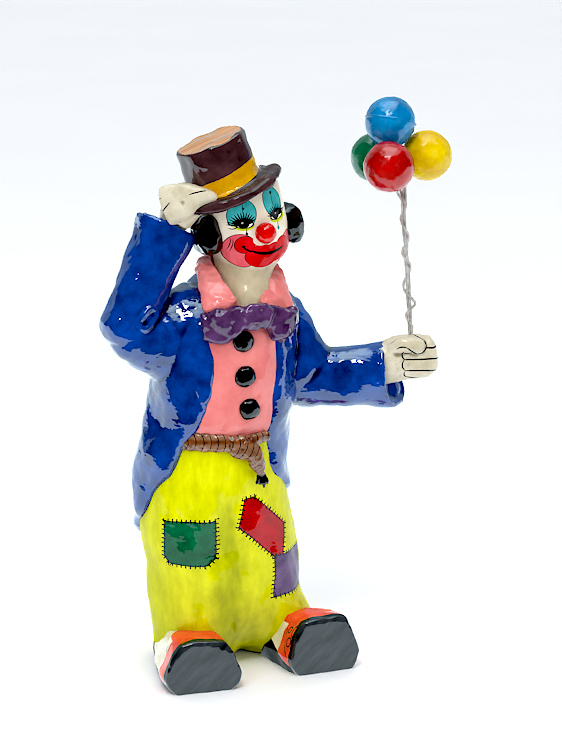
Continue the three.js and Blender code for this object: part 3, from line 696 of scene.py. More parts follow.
# Rows from waist to neck, as for the trousers
SHIRT = [
    [179, -11.5, -0.5, 49, 42.5, 36],
    [200, -9, -1, 51, 46.5, 37],
    [230, -6, -1, 50, 48, 36],
    [258, -3, -1, 49, 46, 35],
    [274, 1, -2, 42, 38, 33],
    [284, 3, -3, 30, 30, 27],
    [290, 5, -3, 16, 20, 16],
]
# Salmon poster paint under a thin varnish: a soft pink with pale patches where the light is mirrored
SHIRT_PAINT = plain_paint("varnished_salmon_paint", "#EE908C", "#DC7270", 12, 0.3, 4.0, 0.6)
shirt_skin = uneven(pasted([closed(upright(SHIRT, 80, 40))], 2.2, 3), (0.4, 26), (0.15, 8), 31)
shirt = shown("shirt", shirt_skin, SHIRT_PAINT)
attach(shirt, "root")
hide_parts("figure")


# The coat: another layer of paper over shirt and trousers, open in front, with two tails and both sleeves. It
# is cobalt blue. The varnish is thickest here and has run in the crease under the raised arm.
def coat_body(rows, thickness, spans, levels):
    """Rings of a wedge: an arc from the left front edge round the back to the right one, and a point inside.
    Rows are height, middle x and y, half width, front and back depth, and the two edges' angles in degrees.
    The wall falls away by its thickness over the last 9 mm, as a square."""
    z, x, y, wide, front, back, right, left = between(rows, np.linspace(0, 1, levels + 1)).T[:, :, None]
    f = np.linspace(0, 1, spans + 1)[None, :]
    angle = np.radians(left + f * (360 - left - right))
    mean_radius, lip_reach = 52, 9
    from_edge = np.minimum(f, 1 - f) * np.radians(360 - left - right) * mean_radius
    lip = thickness * np.maximum(0, 1 - from_edge / lip_reach) ** 2
    ring_x = x + (wide - lip) * soft_power(np.sin(angle), 2.2)
    ring_y = y - (np.where(np.cos(angle) > 0, front, back) - lip) * soft_power(np.cos(angle), 2.2)
    arc = np.stack([ring_x, ring_y, np.broadcast_to(z, ring_x.shape)], -1)
    return closed(np.concatenate([arc, np.stack([x, y, z], -1)], 1))


def round_line(rows, side, levels, sides, power=2.2):
    """Rings round a line. Rows are x, y, z, half width and half depth; side is the way the width points."""
    t = np.linspace(0, 1, levels + 1)
    x, y, z, wide, deep = between(rows, t).T
    travel = between(rows, np.minimum(t + 0.01, 1))[:, :3] - between(rows, np.maximum(t - 0.01, 0))[:, :3]
    travel /= np.linalg.norm(travel, axis=1, keepdims=True)
    across = np.array(side, float) - travel * (travel @ np.array(side, float))[:, None]
    across /= np.linalg.norm(across, axis=1, keepdims=True)
    rise = np.cross(travel, across)
    angle = np.linspace(0, 2 * np.pi, sides, endpoint=False)
    wider = (wide[:, None] * soft_power(np.cos(angle), power))[:, :, None] * across[:, None]
    deeper = (deep[:, None] * soft_power(np.sin(angle), power))[:, :, None] * rise[:, None]
    return np.stack([x, y, z], -1)[:, None] + wider + deeper


def domed(rings, reach):
    """Rounds off the last ring over a reach in mm: smaller rings on a quarter circle beyond it."""
    way = rings[-1].mean(0) - rings[-2].mean(0)
    way /= np.linalg.norm(way)
    middle = rings[-1].mean(0)
    rise = np.array([0.25, 0.5, 0.7, 0.85, 0.95, 0.99])[:, None, None]
    caps = (rings[-1] - middle)[None] * np.sqrt(1 - rise**2) + middle + way * reach * rise
    return np.concatenate([rings, caps])


def limb(rows, side, levels, sides, start=0, end=0, power=2.2):
    """A closed skin round a line, each end rounded off over start and end mm."""
    rings = round_line(rows, side, levels, sides, power)
    if end:
        rings = domed(rings, end)
    if start:
        rings = domed(rings[::-1], start)[::-1]
    return closed(rings)


def sleeve(upper, lower, corner, wall):
    """The upper arm's skin and the forearm's. The forearm ends in a cuff that is open round the wrist, with a
    wall so many mm thick, and its lower far corner sticks out by corner mm."""
    cuff_radius, cuff_depth = 20, 3
    rings = domed(round_line(lower, (0, 1, 0), 24, 48)[::-1], 12)[::-1]
    mouth, middle = rings[-1], rings[-1].mean(0)
    out = middle - rings[-2].mean(0)
    out /= np.linalg.norm(out)
    off = mouth - middle
    rim = mouth + out * (corner * np.maximum(0, (off[:, 1] - off[:, 2]) / 40) ** 1.5)[:, None]
    inside = (rim - rim.mean(0)) * (1 - wall / cuff_radius) + rim.mean(0)
    deep = (inside - inside.mean(0)) * 0.95 + inside.mean(0) - out * cuff_depth
    forearm = closed(np.concatenate([rings[:-1], [rim, inside, deep]]))
    return limb(upper, (0, 1, 0), 20, 48, 8, 12), forearm


def near_line(points, line):
    """How far each point is from a bent line, in mm: the least distance to any of its stretches."""
    best = np.full(len(points), 1e9)
    for a, b in zip(np.array(line[:-1], float), np.array(line[1:], float)):
        t = np.clip((points - a) @ (b - a) / ((b - a) @ (b - a)), 0, 1)[:, None]
        best = np.minimum(best, np.linalg.norm(points - a - t * (b - a), axis=1))
    return best


def coat_paint():
    """Cobalt blue, brushed on in two tones and darker where it is thick, with painted shade in its hollows,
    under a thick varnish that mirrors the pale room in broad patches with ragged edges."""
    material, tree, shader, place = varnished("varnished_cobalt_paint", 0.6, 3.5)
    colour = mottled(tree, place, "#0947AA", "#010F3E", 18)
    streaks = mottled(tree, place, "#1256BA", "#02103A", 6)
    colour = add(tree, "ShaderNodeMix", {0: 0.45, 6: colour, 7: streaks}, 2, data_type="RGBA")
    # Painted shade: near black in the hollows
    colour = hollow_shade(tree, colour, "#010A30", 0.6)
    tree.links.new(colour, shader.inputs["Base Color"])
    shader.inputs["Coat IOR"].default_value = 1.75
    return material


COAT_THICKNESS = 3.4
# Rows from the tails to the neck: height, middle x and y, half width, front and back depth, and how many
# degrees from the front the right and the left edge are
COAT = [
    [96, -14, 2, 59, 49.5, 48, 122, 122],
    [110, -15, 2, 60.5, 50, 47.5, 97, 102],
    [124, -15.5, 1.5, 61.5, 50, 46, 81, 88],
    [143, -16.5, 1, 60.5, 49.5, 44.5, 66, 50],
    [162, -16.5, 0, 58, 48.5, 43, 49, 33],
    [182, -13, -1, 56.5, 48.5, 41.5, 38, 26],
    [200, -9.5, -1, 55.5, 49.5, 40.5, 32, 27],
    [218, -7.5, -1, 54.7, 50.7, 40, 27, 27],
    [236, -5.5, -1, 54.2, 50.5, 39.5, 27, 24],
    [254, -3.5, -1, 54, 48.5, 39, 27, 21],
    [272, 0, -2, 50.5, 41, 37.5, 26, 20],
    [286, 3, -2, 40, 31, 33, 30, 26],
    [297, 4, -1, 28, 21, 27, 34, 34],
]
# Sleeves: x, y, z, half width and half depth from shoulder to elbow and from elbow to cuff
RAISED_UPPER = [
    [-28, -1, 256, 30, 39],
    [-47, -2, 254, 27, 35],
    [-66, -4, 257, 24, 26],
    [-82, -6, 262, 21, 19.5],
]
RAISED_LOWER = [
    [-84, -8, 264, 20, 20.5],
    [-75, -5, 281, 19.5, 20],
    [-64.5, 0, 304.5, 19, 19.5],
    [-47.3, 7, 336.5, 21, 23],
]
HELD_UPPER = [[31.5, -2, 260, 24, 26], [43.5, -9, 243, 22, 24.5], [54.5, -17, 225.5, 20, 23.5]]
HELD_LOWER = [
    [52, -12, 217.5, 20, 23],
    [76, -24, 218.5, 19.5, 23],
    [94, -35, 220, 19.5, 23],
    [110, -44, 222, 20, 24.5],
]
raised_sleeve = sleeve(RAISED_UPPER, RAISED_LOWER, 0, 2.5)
held_sleeve = sleeve(HELD_UPPER, HELD_LOWER, 15, 2.5)
coat_skins = [coat_body(COAT, COAT_THICKNESS, 200, 90), *raised_sleeve, *held_sleeve]
coat_points, coat_faces = uneven(pasted(coat_skins, 1.5, 6), (1.25, 33), (0.17, 10), 41)
# A run of varnish 2 mm high in the crease under the raised arm, and a ring of it 2.3 mm high at the elbow
CREASE = [(-57, -24, 272), (-50, -36, 248), (-43, -43, 226), (-38, -45, 214)]
crease = bump(near_line(coat_points, CREASE), 1.8)
blister = bump(near_line(coat_points, [(-76, -25, 273), (-70, -25, 279)]) - 4.5, 1.6)
coat_points = coat_points + outward(coat_points, coat_faces) * (2.0 * crease + 2.3 * blister)[:, None]
coat = shown("coat", (coat_points, coat_faces), coat_paint())
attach(coat, "root")
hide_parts("figure")


# The belt: a rope of pasted paper round the waist, knotted in front, with one hanging end that frays to a
# tassel. It is brown with the rope's turns drawn on in dark arcs.
def belt_paint():
    """Tan brown, redder along its middle, with painted shade in its hollows, a dark arc every 5 mm and the
    frayed end black, under a varnish that lies nearly smooth."""
    material, tree, shader, place = varnished("varnished_rope_brown_paint", wobble=0.12, grain=3.0)
    spot = facing(tree, place, (-10, -48, 184), turned_wall(0))
    across = add(tree, "ShaderNodeSeparateXYZ", [spot])
    up = across.node.outputs[1]
    # Painted shade in the hollows
    colour = hollow_shade(tree, mottled(tree, place, "#A0755A", "#704C36", 5), "#2E180A", 0.3)
    red = mottled(tree, place, "#844C2A", "#56280F", 3, 2)
    off = add(tree, "ShaderNodeMath", [up], operation="ABSOLUTE")
    middle = add(tree, "ShaderNodeMapRange", [off, 2.6, 0.6])
    colour = over(tree, colour, red, middle)
    curve = add(tree, "ShaderNodeMath", [up, up], operation="MULTIPLY")
    turns = add(tree, "ShaderNodeMath", [curve, 0.035, across], operation="MULTIPLY_ADD")
    turns = add(tree, "ShaderNodeMath", [turns, 5.0], operation="FLOORED_MODULO")
    arcs = add(tree, "ShaderNodeMath", [turns, 2.5, 0.32], operation="COMPARE")
    colour = over(tree, colour, "#2A2320", arcs)
    frayed = add(tree, "ShaderNodeMapRange", [up, -26.5, -27.5])
    colour = over(tree, colour, "#15150F", frayed)
    tree.links.new(colour, shader.inputs["Base Color"])
    return material


def ball(centre, radii, levels=24, sides=32):
    """Rings of an egg shape from its lowest point up: half circles of latitude, scaled by three radii."""
    tilt = np.linspace(-np.pi / 2, np.pi / 2, levels + 1)[1:-1, None]
    angle = np.linspace(0, 2 * np.pi, sides, endpoint=False)[None, :]
    shape = [np.cos(tilt) * np.sin(angle), -np.cos(tilt) * np.cos(angle), np.sin(tilt) + 0 * angle]
    rings = np.stack(shape, -1) * radii + centre
    corners, faces = closed(rings)
    corners[-2], corners[-1] = np.array(centre) - (0, 0, radii[2]), np.array(centre) + (0, 0, radii[2])
    return corners, faces


# The band lies on an oval round the waist from 50 degrees on the right to 26 on the left. It sags by 2.5 mm
# and its half width shrinks from 8.4 to 4 mm on the way.
band_share = np.linspace(0, 1, 9)
band_turn = np.radians(-50 + 76 * band_share)
band_x, band_y = -9.5 + 51 * np.sin(band_turn), -1 - 45.5 * np.cos(band_turn)
band_z = 184.8 - band_share - 2.5 * np.sin(np.pi * band_share)
band = np.stack([band_x, band_y, band_z, 3.8 + 0 * band_share, 8.4 - 4.4 * band_share], -1)
LOOSE_END = [
    [-8, -50, 183, 4.5, 6.5],
    [-3, -51.5, 175, 5, 7],
    [1.5, -51, 166, 4.2, 6],
    [4, -50.5, 159, 3, 3.6],
    [5, -50.5, 156, 2.2, 2.6],
]
belt_knot = ball((-10, -48, 178.5), (10, 6, 9.5))
belt_skins = [limb(band, (0, -1, 0.001), 60, 24), belt_knot, limb(LOOSE_END, (0, -1, 0), 30, 24)]
for lean in (-5.5, -2.5, 0.5, 3.5):
    tuft = [
        [5 + lean * 0.35, -50.5, 157, 1.8, 1.8],
        [5.6 + lean * 0.8, -51.5, 151.5, 1.6, 1.6],
        [6 + lean * 1.15, -51.5, 146 + abs(lean), 0.5, 0.5],
    ]
    belt_skins.append(limb(tuft, (0, -1, 0), 12, 12, 0.5, 0.3))
belt = shown("belt", uneven(pasted(belt_skins, 0.8, 3), (0.35, 9), (0.18, 4), 51), belt_paint())
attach(belt, "root")
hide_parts("figure")


# The gloves: a fist round the balloons' stem and a flat hand on the hat's brim, shaped in pasted paper and
# painted ivory, with the fingers only drawn on them in thin black lines.
def glove_paint(name, origin, ways, strokes):
    """Ivory paint, a little dirty, and darker in its hollows as painted shade, with black strokes on the side
    that the drawing faces.
    """
    material, tree, shader, place = varnished(name, wobble=0.2, grain=5.0, gloss=0.6)
    # Painted shade in the hollows
    plain = hollow_shade(tree, mottled(tree, place, "#DAD3BE", "#BCB296", 8), "#847A60", 0.35)
    spot = facing(tree, place, origin, ways)
    near = add(tree, "ShaderNodeSeparateXYZ", [spot]).node.outputs[2]
    drawn = plain
    for start, end, bow, width in strokes:
        drawn = stroke(tree, drawn, spot, start, end, bow, width)
    front = add(tree, "ShaderNodeMath", [near, 0.0], operation="GREATER_THAN")
    tree.links.new(over(tree, plain, drawn, front), shader.inputs["Base Color"])
    return material


# Lines of the gloves' parts: x, y, z, half width and half depth. A drawn stroke has its start and its end
# across and up, how far it bows and how wide it is.
RAISED_PALM = [
    [-42, 8, 336, 11, 11],
    [-42, 4, 346, 15, 9.5],
    [-38.5, 0, 356, 18, 8.5],
    [-31, -4, 361.5, 18, 6.5],
    [-23.5, -8, 363.5, 13, 4.5],
]
RAISED_THUMB = [[-41, -12, 343, 6.5, 6], [-34.5, -17, 350.5, 6, 6], [-26, -20.5, 357.5, 5, 5]]
RAISED_FINGERS = [
    [-52, -8, 354, 15, 8],
    [-44, -14, 357.5, 14.5, 8],
    [-36, -20, 360.5, 11.5, 7],
    [-28, -24, 361.5, 7.5, 6],
    [-22, -26, 361, 4.5, 5],
]
RAISED_LINES = [
    ((-57.4, 350.4), (-52.6, 358.6), 0.4, 0.6),
    ((-60.4, 353.0), (-57.6, 361.5), 0.6, 0.5),
    ((-62.0, 352.0), (-60.2, 357.5), 0.3, 0.5),
    ((-41.0, 364.6), (-28.4, 367.2), 0.7, 0.8),
]
raised_skins = [
    limb(RAISED_PALM, (0, 1, 0), 40, 40, 0, 4),
    limb(RAISED_THUMB, (0, 1, 0), 24, 24, 4, 4),
    limb(RAISED_FINGERS, (0, 0, 1), 32, 40, 3, 3),
]
raised_skin = uneven(pasted(raised_skins, 0.95, 5), (0.4, 14), (0.15, 5), 61)
raised_paint = glove_paint("varnished_ivory_paint_raised", (0, 5, 0), turned_wall(0), RAISED_LINES)
hand_raised = shown("hand_raised", raised_skin, raised_paint)

WRIST = [[103, -41, 227, 13, 14], [114, -46, 231, 13.5, 15]]
FIST = [
    [105, -43, 230, 12, 14.5],
    [118, -47.5, 234.5, 13, 16.5],
    [132, -53, 236, 12.5, 16],
    [139.5, -55.5, 238, 11.5, 13.5],
]
FIST_THUMB = [
    [108, -54, 243, 4.5, 4.5],
    [114, -58, 246.5, 5.5, 5.5],
    [121, -61, 247, 6, 6.2],
    [127, -63, 246, 5.5, 5.8],
]
FIST_LINES = [
    ((108.6, 244.6), (115.3, 246.0), 1.1, 1.0),
    ((115.3, 246.0), (123.5, 240.6), -0.4, 1.0),
    ((122.7, 240.8), (131.2, 245.2), -1.6, 1.1),
    ((131.2, 244.6), (126.8, 252.0), -1.6, 1.0),
    ((129.5, 244.6), (146.0, 243.8), 0.0, 1.25),
    ((119.6, 243.2), (113.8, 241.8), 1.6, 0.9),
    ((113.9, 242.6), (115.6, 235.6), -1.0, 0.9),
    ((115.0, 235.8), (143.5, 236.0), 0.3, 1.25),
    ((115.6, 236.0), (116.4, 227.0), -2.0, 0.9),
    ((116.0, 227.4), (140.5, 226.6), 0.3, 1.25),
    ((116.4, 227.4), (119.6, 221.8), -2.0, 0.9),
    ((118.6, 222.2), (129.0, 220.4), -0.4, 0.9),
]
fist_skins = [
    limb(WRIST, (0, 1, 0), 8, 40),
    limb(FIST, (0, 1, 0), 30, 48, 0, 4.5, 3),
    limb(FIST_THUMB, (0, 1, 0), 20, 24, 4, 3.5),
]
fist_skin = uneven(pasted(fist_skins, 0.95, 5), (0.3, 14), (0.12, 5), 63)
fist_paint = glove_paint("varnished_ivory_paint_fist", (0, -50, 0), turned_wall(0), FIST_LINES)
fist = shown("fist", fist_skin, fist_paint)
for hand in (hand_raised, fist):
    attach(hand, "root")
    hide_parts("figure")


# The head and neck: an egg of pasted paper, painted ivory. The whole face is drawn on it with a fine brush:
# blue-green lids, black lashes, rosy cheeks and red lips.
def leaning(lean, nod, turn):
    """Ways of a frame that is turned about the upright, nods forwards and leans to the clown's right, in
    degrees."""
    a, b, c = (math.radians(v) for v in (-lean, nod, turn))
    about_y = np.array([[math.cos(a), 0, math.sin(a)], [0, 1, 0], [-math.sin(a), 0, math.cos(a)]])
    about_x = np.array([[1, 0, 0], [0, math.cos(b), -math.sin(b)], [0, math.sin(b), math.cos(b)]])
    about_z = np.array([[math.cos(c), -math.sin(c), 0], [math.sin(c), math.cos(c), 0], [0, 0, 1]])
    return about_y @ about_x @ about_z


def blob(tree, under, spot, centre, radii, tilt, colour, line=0.0):
    """A filled oval with a thin dark line of so many mm round it."""
    far = oval(tree, spot, centre, radii, tilt)
    size = min(radii)
    if line:
        ring = add(tree, "ShaderNodeMapRange", [far, 1.0 + line / size, 1.0 + line / size - 0.12 / size])
        under = over(tree, under, INK, ring)
    inside = add(tree, "ShaderNodeMapRange", [far, 1.0 + 0.06 / size, 1.0 - 0.06 / size])
    return over(tree, under, colour, inside)


def lashes(tree, under, spot, centre, inner, outer, start, end, count):
    """Black lashes round a centre: thin rays from an inner to an outer radius in mm, between two angles."""
    own = add(tree, "ShaderNodeVectorMath", [spot, (*centre, 0)], operation="SUBTRACT")
    x = add(tree, "ShaderNodeSeparateXYZ", [own])
    far = add(tree, "ShaderNodeVectorMath", [own], 1, operation="LENGTH")
    angle = add(tree, "ShaderNodeMath", [x.node.outputs[1], x], operation="ARCTAN2")
    share = add(tree, "ShaderNodeMapRange", [angle, math.radians(start), math.radians(end)], clamp=False)
    saw = add(tree, "ShaderNodeMath", [share, float(count)], operation="MULTIPLY")
    saw = add(tree, "ShaderNodeMath", [saw], operation="FRACT")
    away = add(tree, "ShaderNodeMath", [saw, 0.5], operation="SUBTRACT")
    away = add(tree, "ShaderNodeMath", [away], operation="ABSOLUTE")
    arc = math.radians(abs(end - start)) / count
    away = add(tree, "ShaderNodeMath", [away, far], operation="MULTIPLY")
    away = add(tree, "ShaderNodeMath", [away, arc], operation="MULTIPLY")
    width = add(tree, "ShaderNodeMapRange", [far, inner, outer, 0.8, 0.16])
    ray = add(tree, "ShaderNodeMath", [width, away], operation="GREATER_THAN")
    inside = add(tree, "ShaderNodeMath", [far, outer], operation="LESS_THAN")
    middle = add(tree, "ShaderNodeMath", [share, 0.5, 0.5], operation="COMPARE")
    ray = add(tree, "ShaderNodeMath", [ray, inside], operation="MULTIPLY")
    ray = add(tree, "ShaderNodeMath", [ray, middle], operation="MULTIPLY")
    return over(tree, under, "#0C0B0A", ray)


# The face in the order it is painted, in mm to the clown's left and up from the head's middle. A blob has its
# middle, radii, tilt in degrees, paint and the width of the line round it. A stroke has its start, end, bow,
# width, and paint if it isn't ink. Lashes have their middle, inner and outer radius, two angles and a count.
FACE = [
    # Lids, right and left
    (blob, (-12.0, 9.0), (9.6, 11.0), -14, "lid", 0.45),
    (blob, (13.6, 12.2), (8.2, 11.0), 14, "lid", 0.45),
    (blob, (-12.2, -1.5), (10.6, 4.4), -8, "plain"),
    (blob, (15.5, -0.6), (9.0, 4.6), 4, "plain"),
    # Lime rims and the whites of the eyes
    (blob, (-11.8, 0.2), (6.8, 3.3), -6, "#C3D53A"),
    (blob, (15.2, 0.6), (7.0, 3.6), 0, "#C3D53A"),
    (blob, (-11.6, 1.4), (5.4, 2.4), -6, "#F4F1E6", 0.6),
    (blob, (14.8, 1.7), (5.2, 2.5), 0, "#F4F1E6", 0.6),
    # Upper lids' heavy lash line, pupils and lashes, with a painted highlight on each pupil
    (lashes, (-12.6, 0.5), 4.0, 10.4, 15, 172, 13),
    (lashes, (14.6, 1.0), 4.0, 9.2, 8, 168, 12),
    (blob, (-12.2, 3.5), (7.0, 2.5), -4, "#0C0B0A"),
    (blob, (15.0, 4.0), (6.4, 2.5), 2, "#0C0B0A"),
    (blob, (-12.2, 2.2), (3.9, 3.6), 0, "#0C0B0A"),
    (blob, (14.0, 2.8), (3.4, 3.6), 0, "#0C0B0A"),
    # A painted highlight on each pupil
    (blob, (-13.2, 3.0), (0.8, 0.7), 0, "#B9B8A8"),
    (blob, (13.8, 3.6), (0.7, 0.7), 0, "#B9B8A8"),
    (stroke, (-22.0, 5.6), (-17.5, 1.4), -1.2, 0.8),
    (stroke, (-22.0, 0.2), (-16.5, 0.6), -0.9, 0.7),
    (stroke, (20.0, 4.4), (25.5, 5.0), -0.6, 0.7),
    # Drawn lines over the lids, and a tear under each eye
    (stroke, (-10.6, 16.8), (-11.8, 9.6), 0.0, 0.5),
    (stroke, (13.8, 19.4), (12.8, 10.0), 0.0, 0.5),
    (blob, (-10.8, 13.4), (0.8, 0.8), 0, "#11282C"),
    (blob, (13.7, 19.0), (1.0, 1.1), 0, "#11282C"),
    (stroke, (-10.9, -1.8), (-11.4, -5.0), 0.0, 0.5),
    (stroke, (14.5, -2.4), (14.3, -7.0), 0.0, 0.5),
    (blob, (-11.4, -5.6), (0.8, 1.3), 0, "#163A56"),
    (blob, (14.3, -7.4), (0.9, 1.5), 0, "#2B8791"),
    # Cheeks
    (blob, (-16.0, -17.6), (10.6, 12.6), 18, "rose", 0.4),
    (blob, (20.0, -24.5), (8.0, 12.6), -22, "rose", 0.3),
    # Lips: two round corners, a full lower lip and the bow under the nose
    (blob, (-13.4, -13.6), (6.4, 6.2), 0, "lip", 0.5),
    (blob, (15.6, -21.0), (5.6, 6.6), -25, "lip", 0.4),
    (blob, (-2.2, -24.6), (12.6, 8.4), -8, "lip", 0.3),
    (blob, (-13.0, -14.2), (5.8, 5.4), 0, "lip"),
    (blob, (8.0, -24.2), (9.0, 7.4), 0, "lip"),
    (blob, (-1.6, -12.0), (6.4, 4.6), -8, "plain"),
    # The line of the mouth
    (stroke, (-15.4, -14.4), (-9.4, -19.8), -0.6, 1.4, "#200A0A"),
    (stroke, (-10.4, -18.6), (15.8, -22.2), -3.2, 2.3, "#200A0A"),
    (stroke, (9.0, -23.4), (16.4, -21.6), -0.4, 1.0),
    (blob, (-14.6, -14.8), (1.2, 0.9), 0, "#24100E"),
    # Two short lines on the right cheek
    (stroke, (-21.6, -7.6), (-24.4, -15.6), 0.6, 0.5),
    (stroke, (-20.2, -8.4), (-23.2, -17.0), 0.6, 0.5),
]


def face_paint(origin, ways):
    """Ivory paint with painted shade under the chin, and the drawn face, laid over it colour by colour in mm
    from the head's middle. The varnish is thin and a little dull, so that the drawing stays clear."""
    name = "varnished_ivory_face_paint"
    material, tree, shader, place = varnished(name, wobble=0.2, grain=5.0, gloss=0.35, satin=0.08)
    across, deep, up = ways.T
    framed = facing(tree, place, origin, (across, up, -deep))
    parts = add(tree, "ShaderNodeSeparateXYZ", [framed])
    height, near = parts.node.outputs[1], parts.node.outputs[2]
    # Painted shade under the jaw and down the neck: a darker ivory from 29 mm below the head's middle, near
    # full by 36 mm
    aside = add(tree, "ShaderNodeMath", [parts, parts], operation="MULTIPLY")
    jaw = add(tree, "ShaderNodeMath", [aside, -0.014, height], operation="MULTIPLY_ADD")
    below = add(tree, "ShaderNodeMapRange", [jaw, -29.0, -36.0, 0.0, 0.9])
    ivory = mottled(tree, place, "#F3EBDA", "#DFD5BE", 9)
    plain = over(tree, ivory, mottled(tree, place, "#CBBE9E", "#A89A7A", 8), below)
    spot = add(tree, "ShaderNodeVectorMath", [framed, (1, 1, 0)], operation="MULTIPLY")
    paints = {
        "plain": plain,
        "lid": mottled(tree, place, "#58C4C6", "#2C9CA0", 5),
        "rose": mottled(tree, place, "#E9737B", "#D9505C", 6),
        "lip": mottled(tree, place, "#DE2026", "#C40C14", 6),
    }
    drawn = plain
    for draw, *how in FACE:
        drawn = draw(tree, drawn, spot, *[paints.get(value, value) for value in how])
    front = add(tree, "ShaderNodeMath", [near, 0.0], operation="GREATER_THAN")
    tree.links.new(over(tree, plain, drawn, front), shader.inputs["Base Color"])
    return material


# Rows from neck to crown about the head's middle, as for the trousers
HEAD = [
    [-56, -13, -2, 20, 28, 18],
    [-46, -11, -2, 21, 24, 18],
    [-37, -6.9, -2, 24.1, 24, 20],
    [-27, 0.2, -1.5, 28.7, 26.5, 22],
    [-14, 1, 0, 29.5, 29, 25],
    [0, 1, 0, 30, 29.5, 27.5],
    [13, 0.5, 0, 30, 29, 28],
    [26, 0.5, 1, 26.5, 25, 25],
    [37, 0, 1, 13, 14, 14],
]
HEAD_CENTRE, HEAD_WAYS = np.array([10, -3, 341]), leaning(10, 0, 4)
NECK = [
    [268, 1, -12, 20, 30, 18],
    [286, 4, -8, 20, 31, 18],
    [300, 7, -5, 19.5, 26, 18],
    [312, 9, -5, 19, 22, 16],
]
head_points, head_faces = closed(upright(HEAD, 96, 60, 2.05))
head_form = (head_points @ HEAD_WAYS.T + HEAD_CENTRE, head_faces)
head_skin = pasted([head_form, closed(upright(NECK, 64, 24))], 1.2, 3)
head = shown("head", uneven(head_skin, (0.35, 22), (0.1, 7), 71), face_paint(HEAD_CENTRE, HEAD_WAYS))
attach(head, "root")
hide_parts("figure")


# The hair: a thick roll of paper, pasted on from temple to temple round the back of the head, with a fuller
# tuft at each end. It is painted black and varnished until it shines.
def hair_rows(count):
    """The roll's line: an arc round the head that is fullest at both ends."""
    t = np.linspace(0, 1, count)
    angle = np.radians(-73 - 212 * t)
    tuft = (2 * t - 1) ** 2
    radius = 31 + 3.5 * tuft
    x, y = radius * np.sin(angle), -radius * np.cos(angle)
    return np.stack([x, y, -4 - 9 * t, 12 + 3 * tuft, 7 + 3 * tuft], -1)


hair_points, hair_faces = limb(hair_rows(9), (0.001, 0.001, 1), 80, 40, 6, 6, 2.5)
hair_skin = pasted([(hair_points @ HEAD_WAYS.T + HEAD_CENTRE, hair_faces)], 1.2, 3)
# Black poster paint under a full varnish: deep black with small bright lights on its lumps
HAIR_PAINT = plain_paint("varnished_black_paint", "#070606", "#020202", 10, 0.3, 4.0)
hair = shown("hair", uneven(hair_skin, (0.7, 15), (0.2, 6), 81), HAIR_PAINT)
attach(hair, "root")
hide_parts("figure")


# The hat: a crown of pasted paper that narrows upwards and a brim with a thick rolled edge, one skin with the
# head. It is dark brown, with a yellow band and a flat tan top.
def hat_skin(brim, crown, height, droops):
    """The hat's outline spun round its upright. The brim is let down by so many mm towards some angles."""
    outline = np.array([
        [0.5, -3], [brim - 5, -4.2], [brim - 1.2, -3.2], [brim, -0.3], [brim - 1.2, 2.6], [brim - 5, 2.6],
        [crown + 3, 0.6], [crown, 2.2], [crown - 1.5, height * 0.5], [crown - 2.3, height - 1.2],
        [crown - 3.5, height], [0.5, height],
    ])
    angle = np.linspace(0, 2 * np.pi, 96, endpoint=False)
    radius, z = outline[:, 0][:, None], outline[:, 1][:, None]
    beyond = np.maximum(0, (radius - crown) / (brim - crown))
    drop = sum(deep * np.maximum(0, np.cos(angle - math.radians(way))) for deep, way in droops)
    return closed(np.stack([radius * np.cos(angle), radius * np.sin(angle), z - drop * beyond], -1))


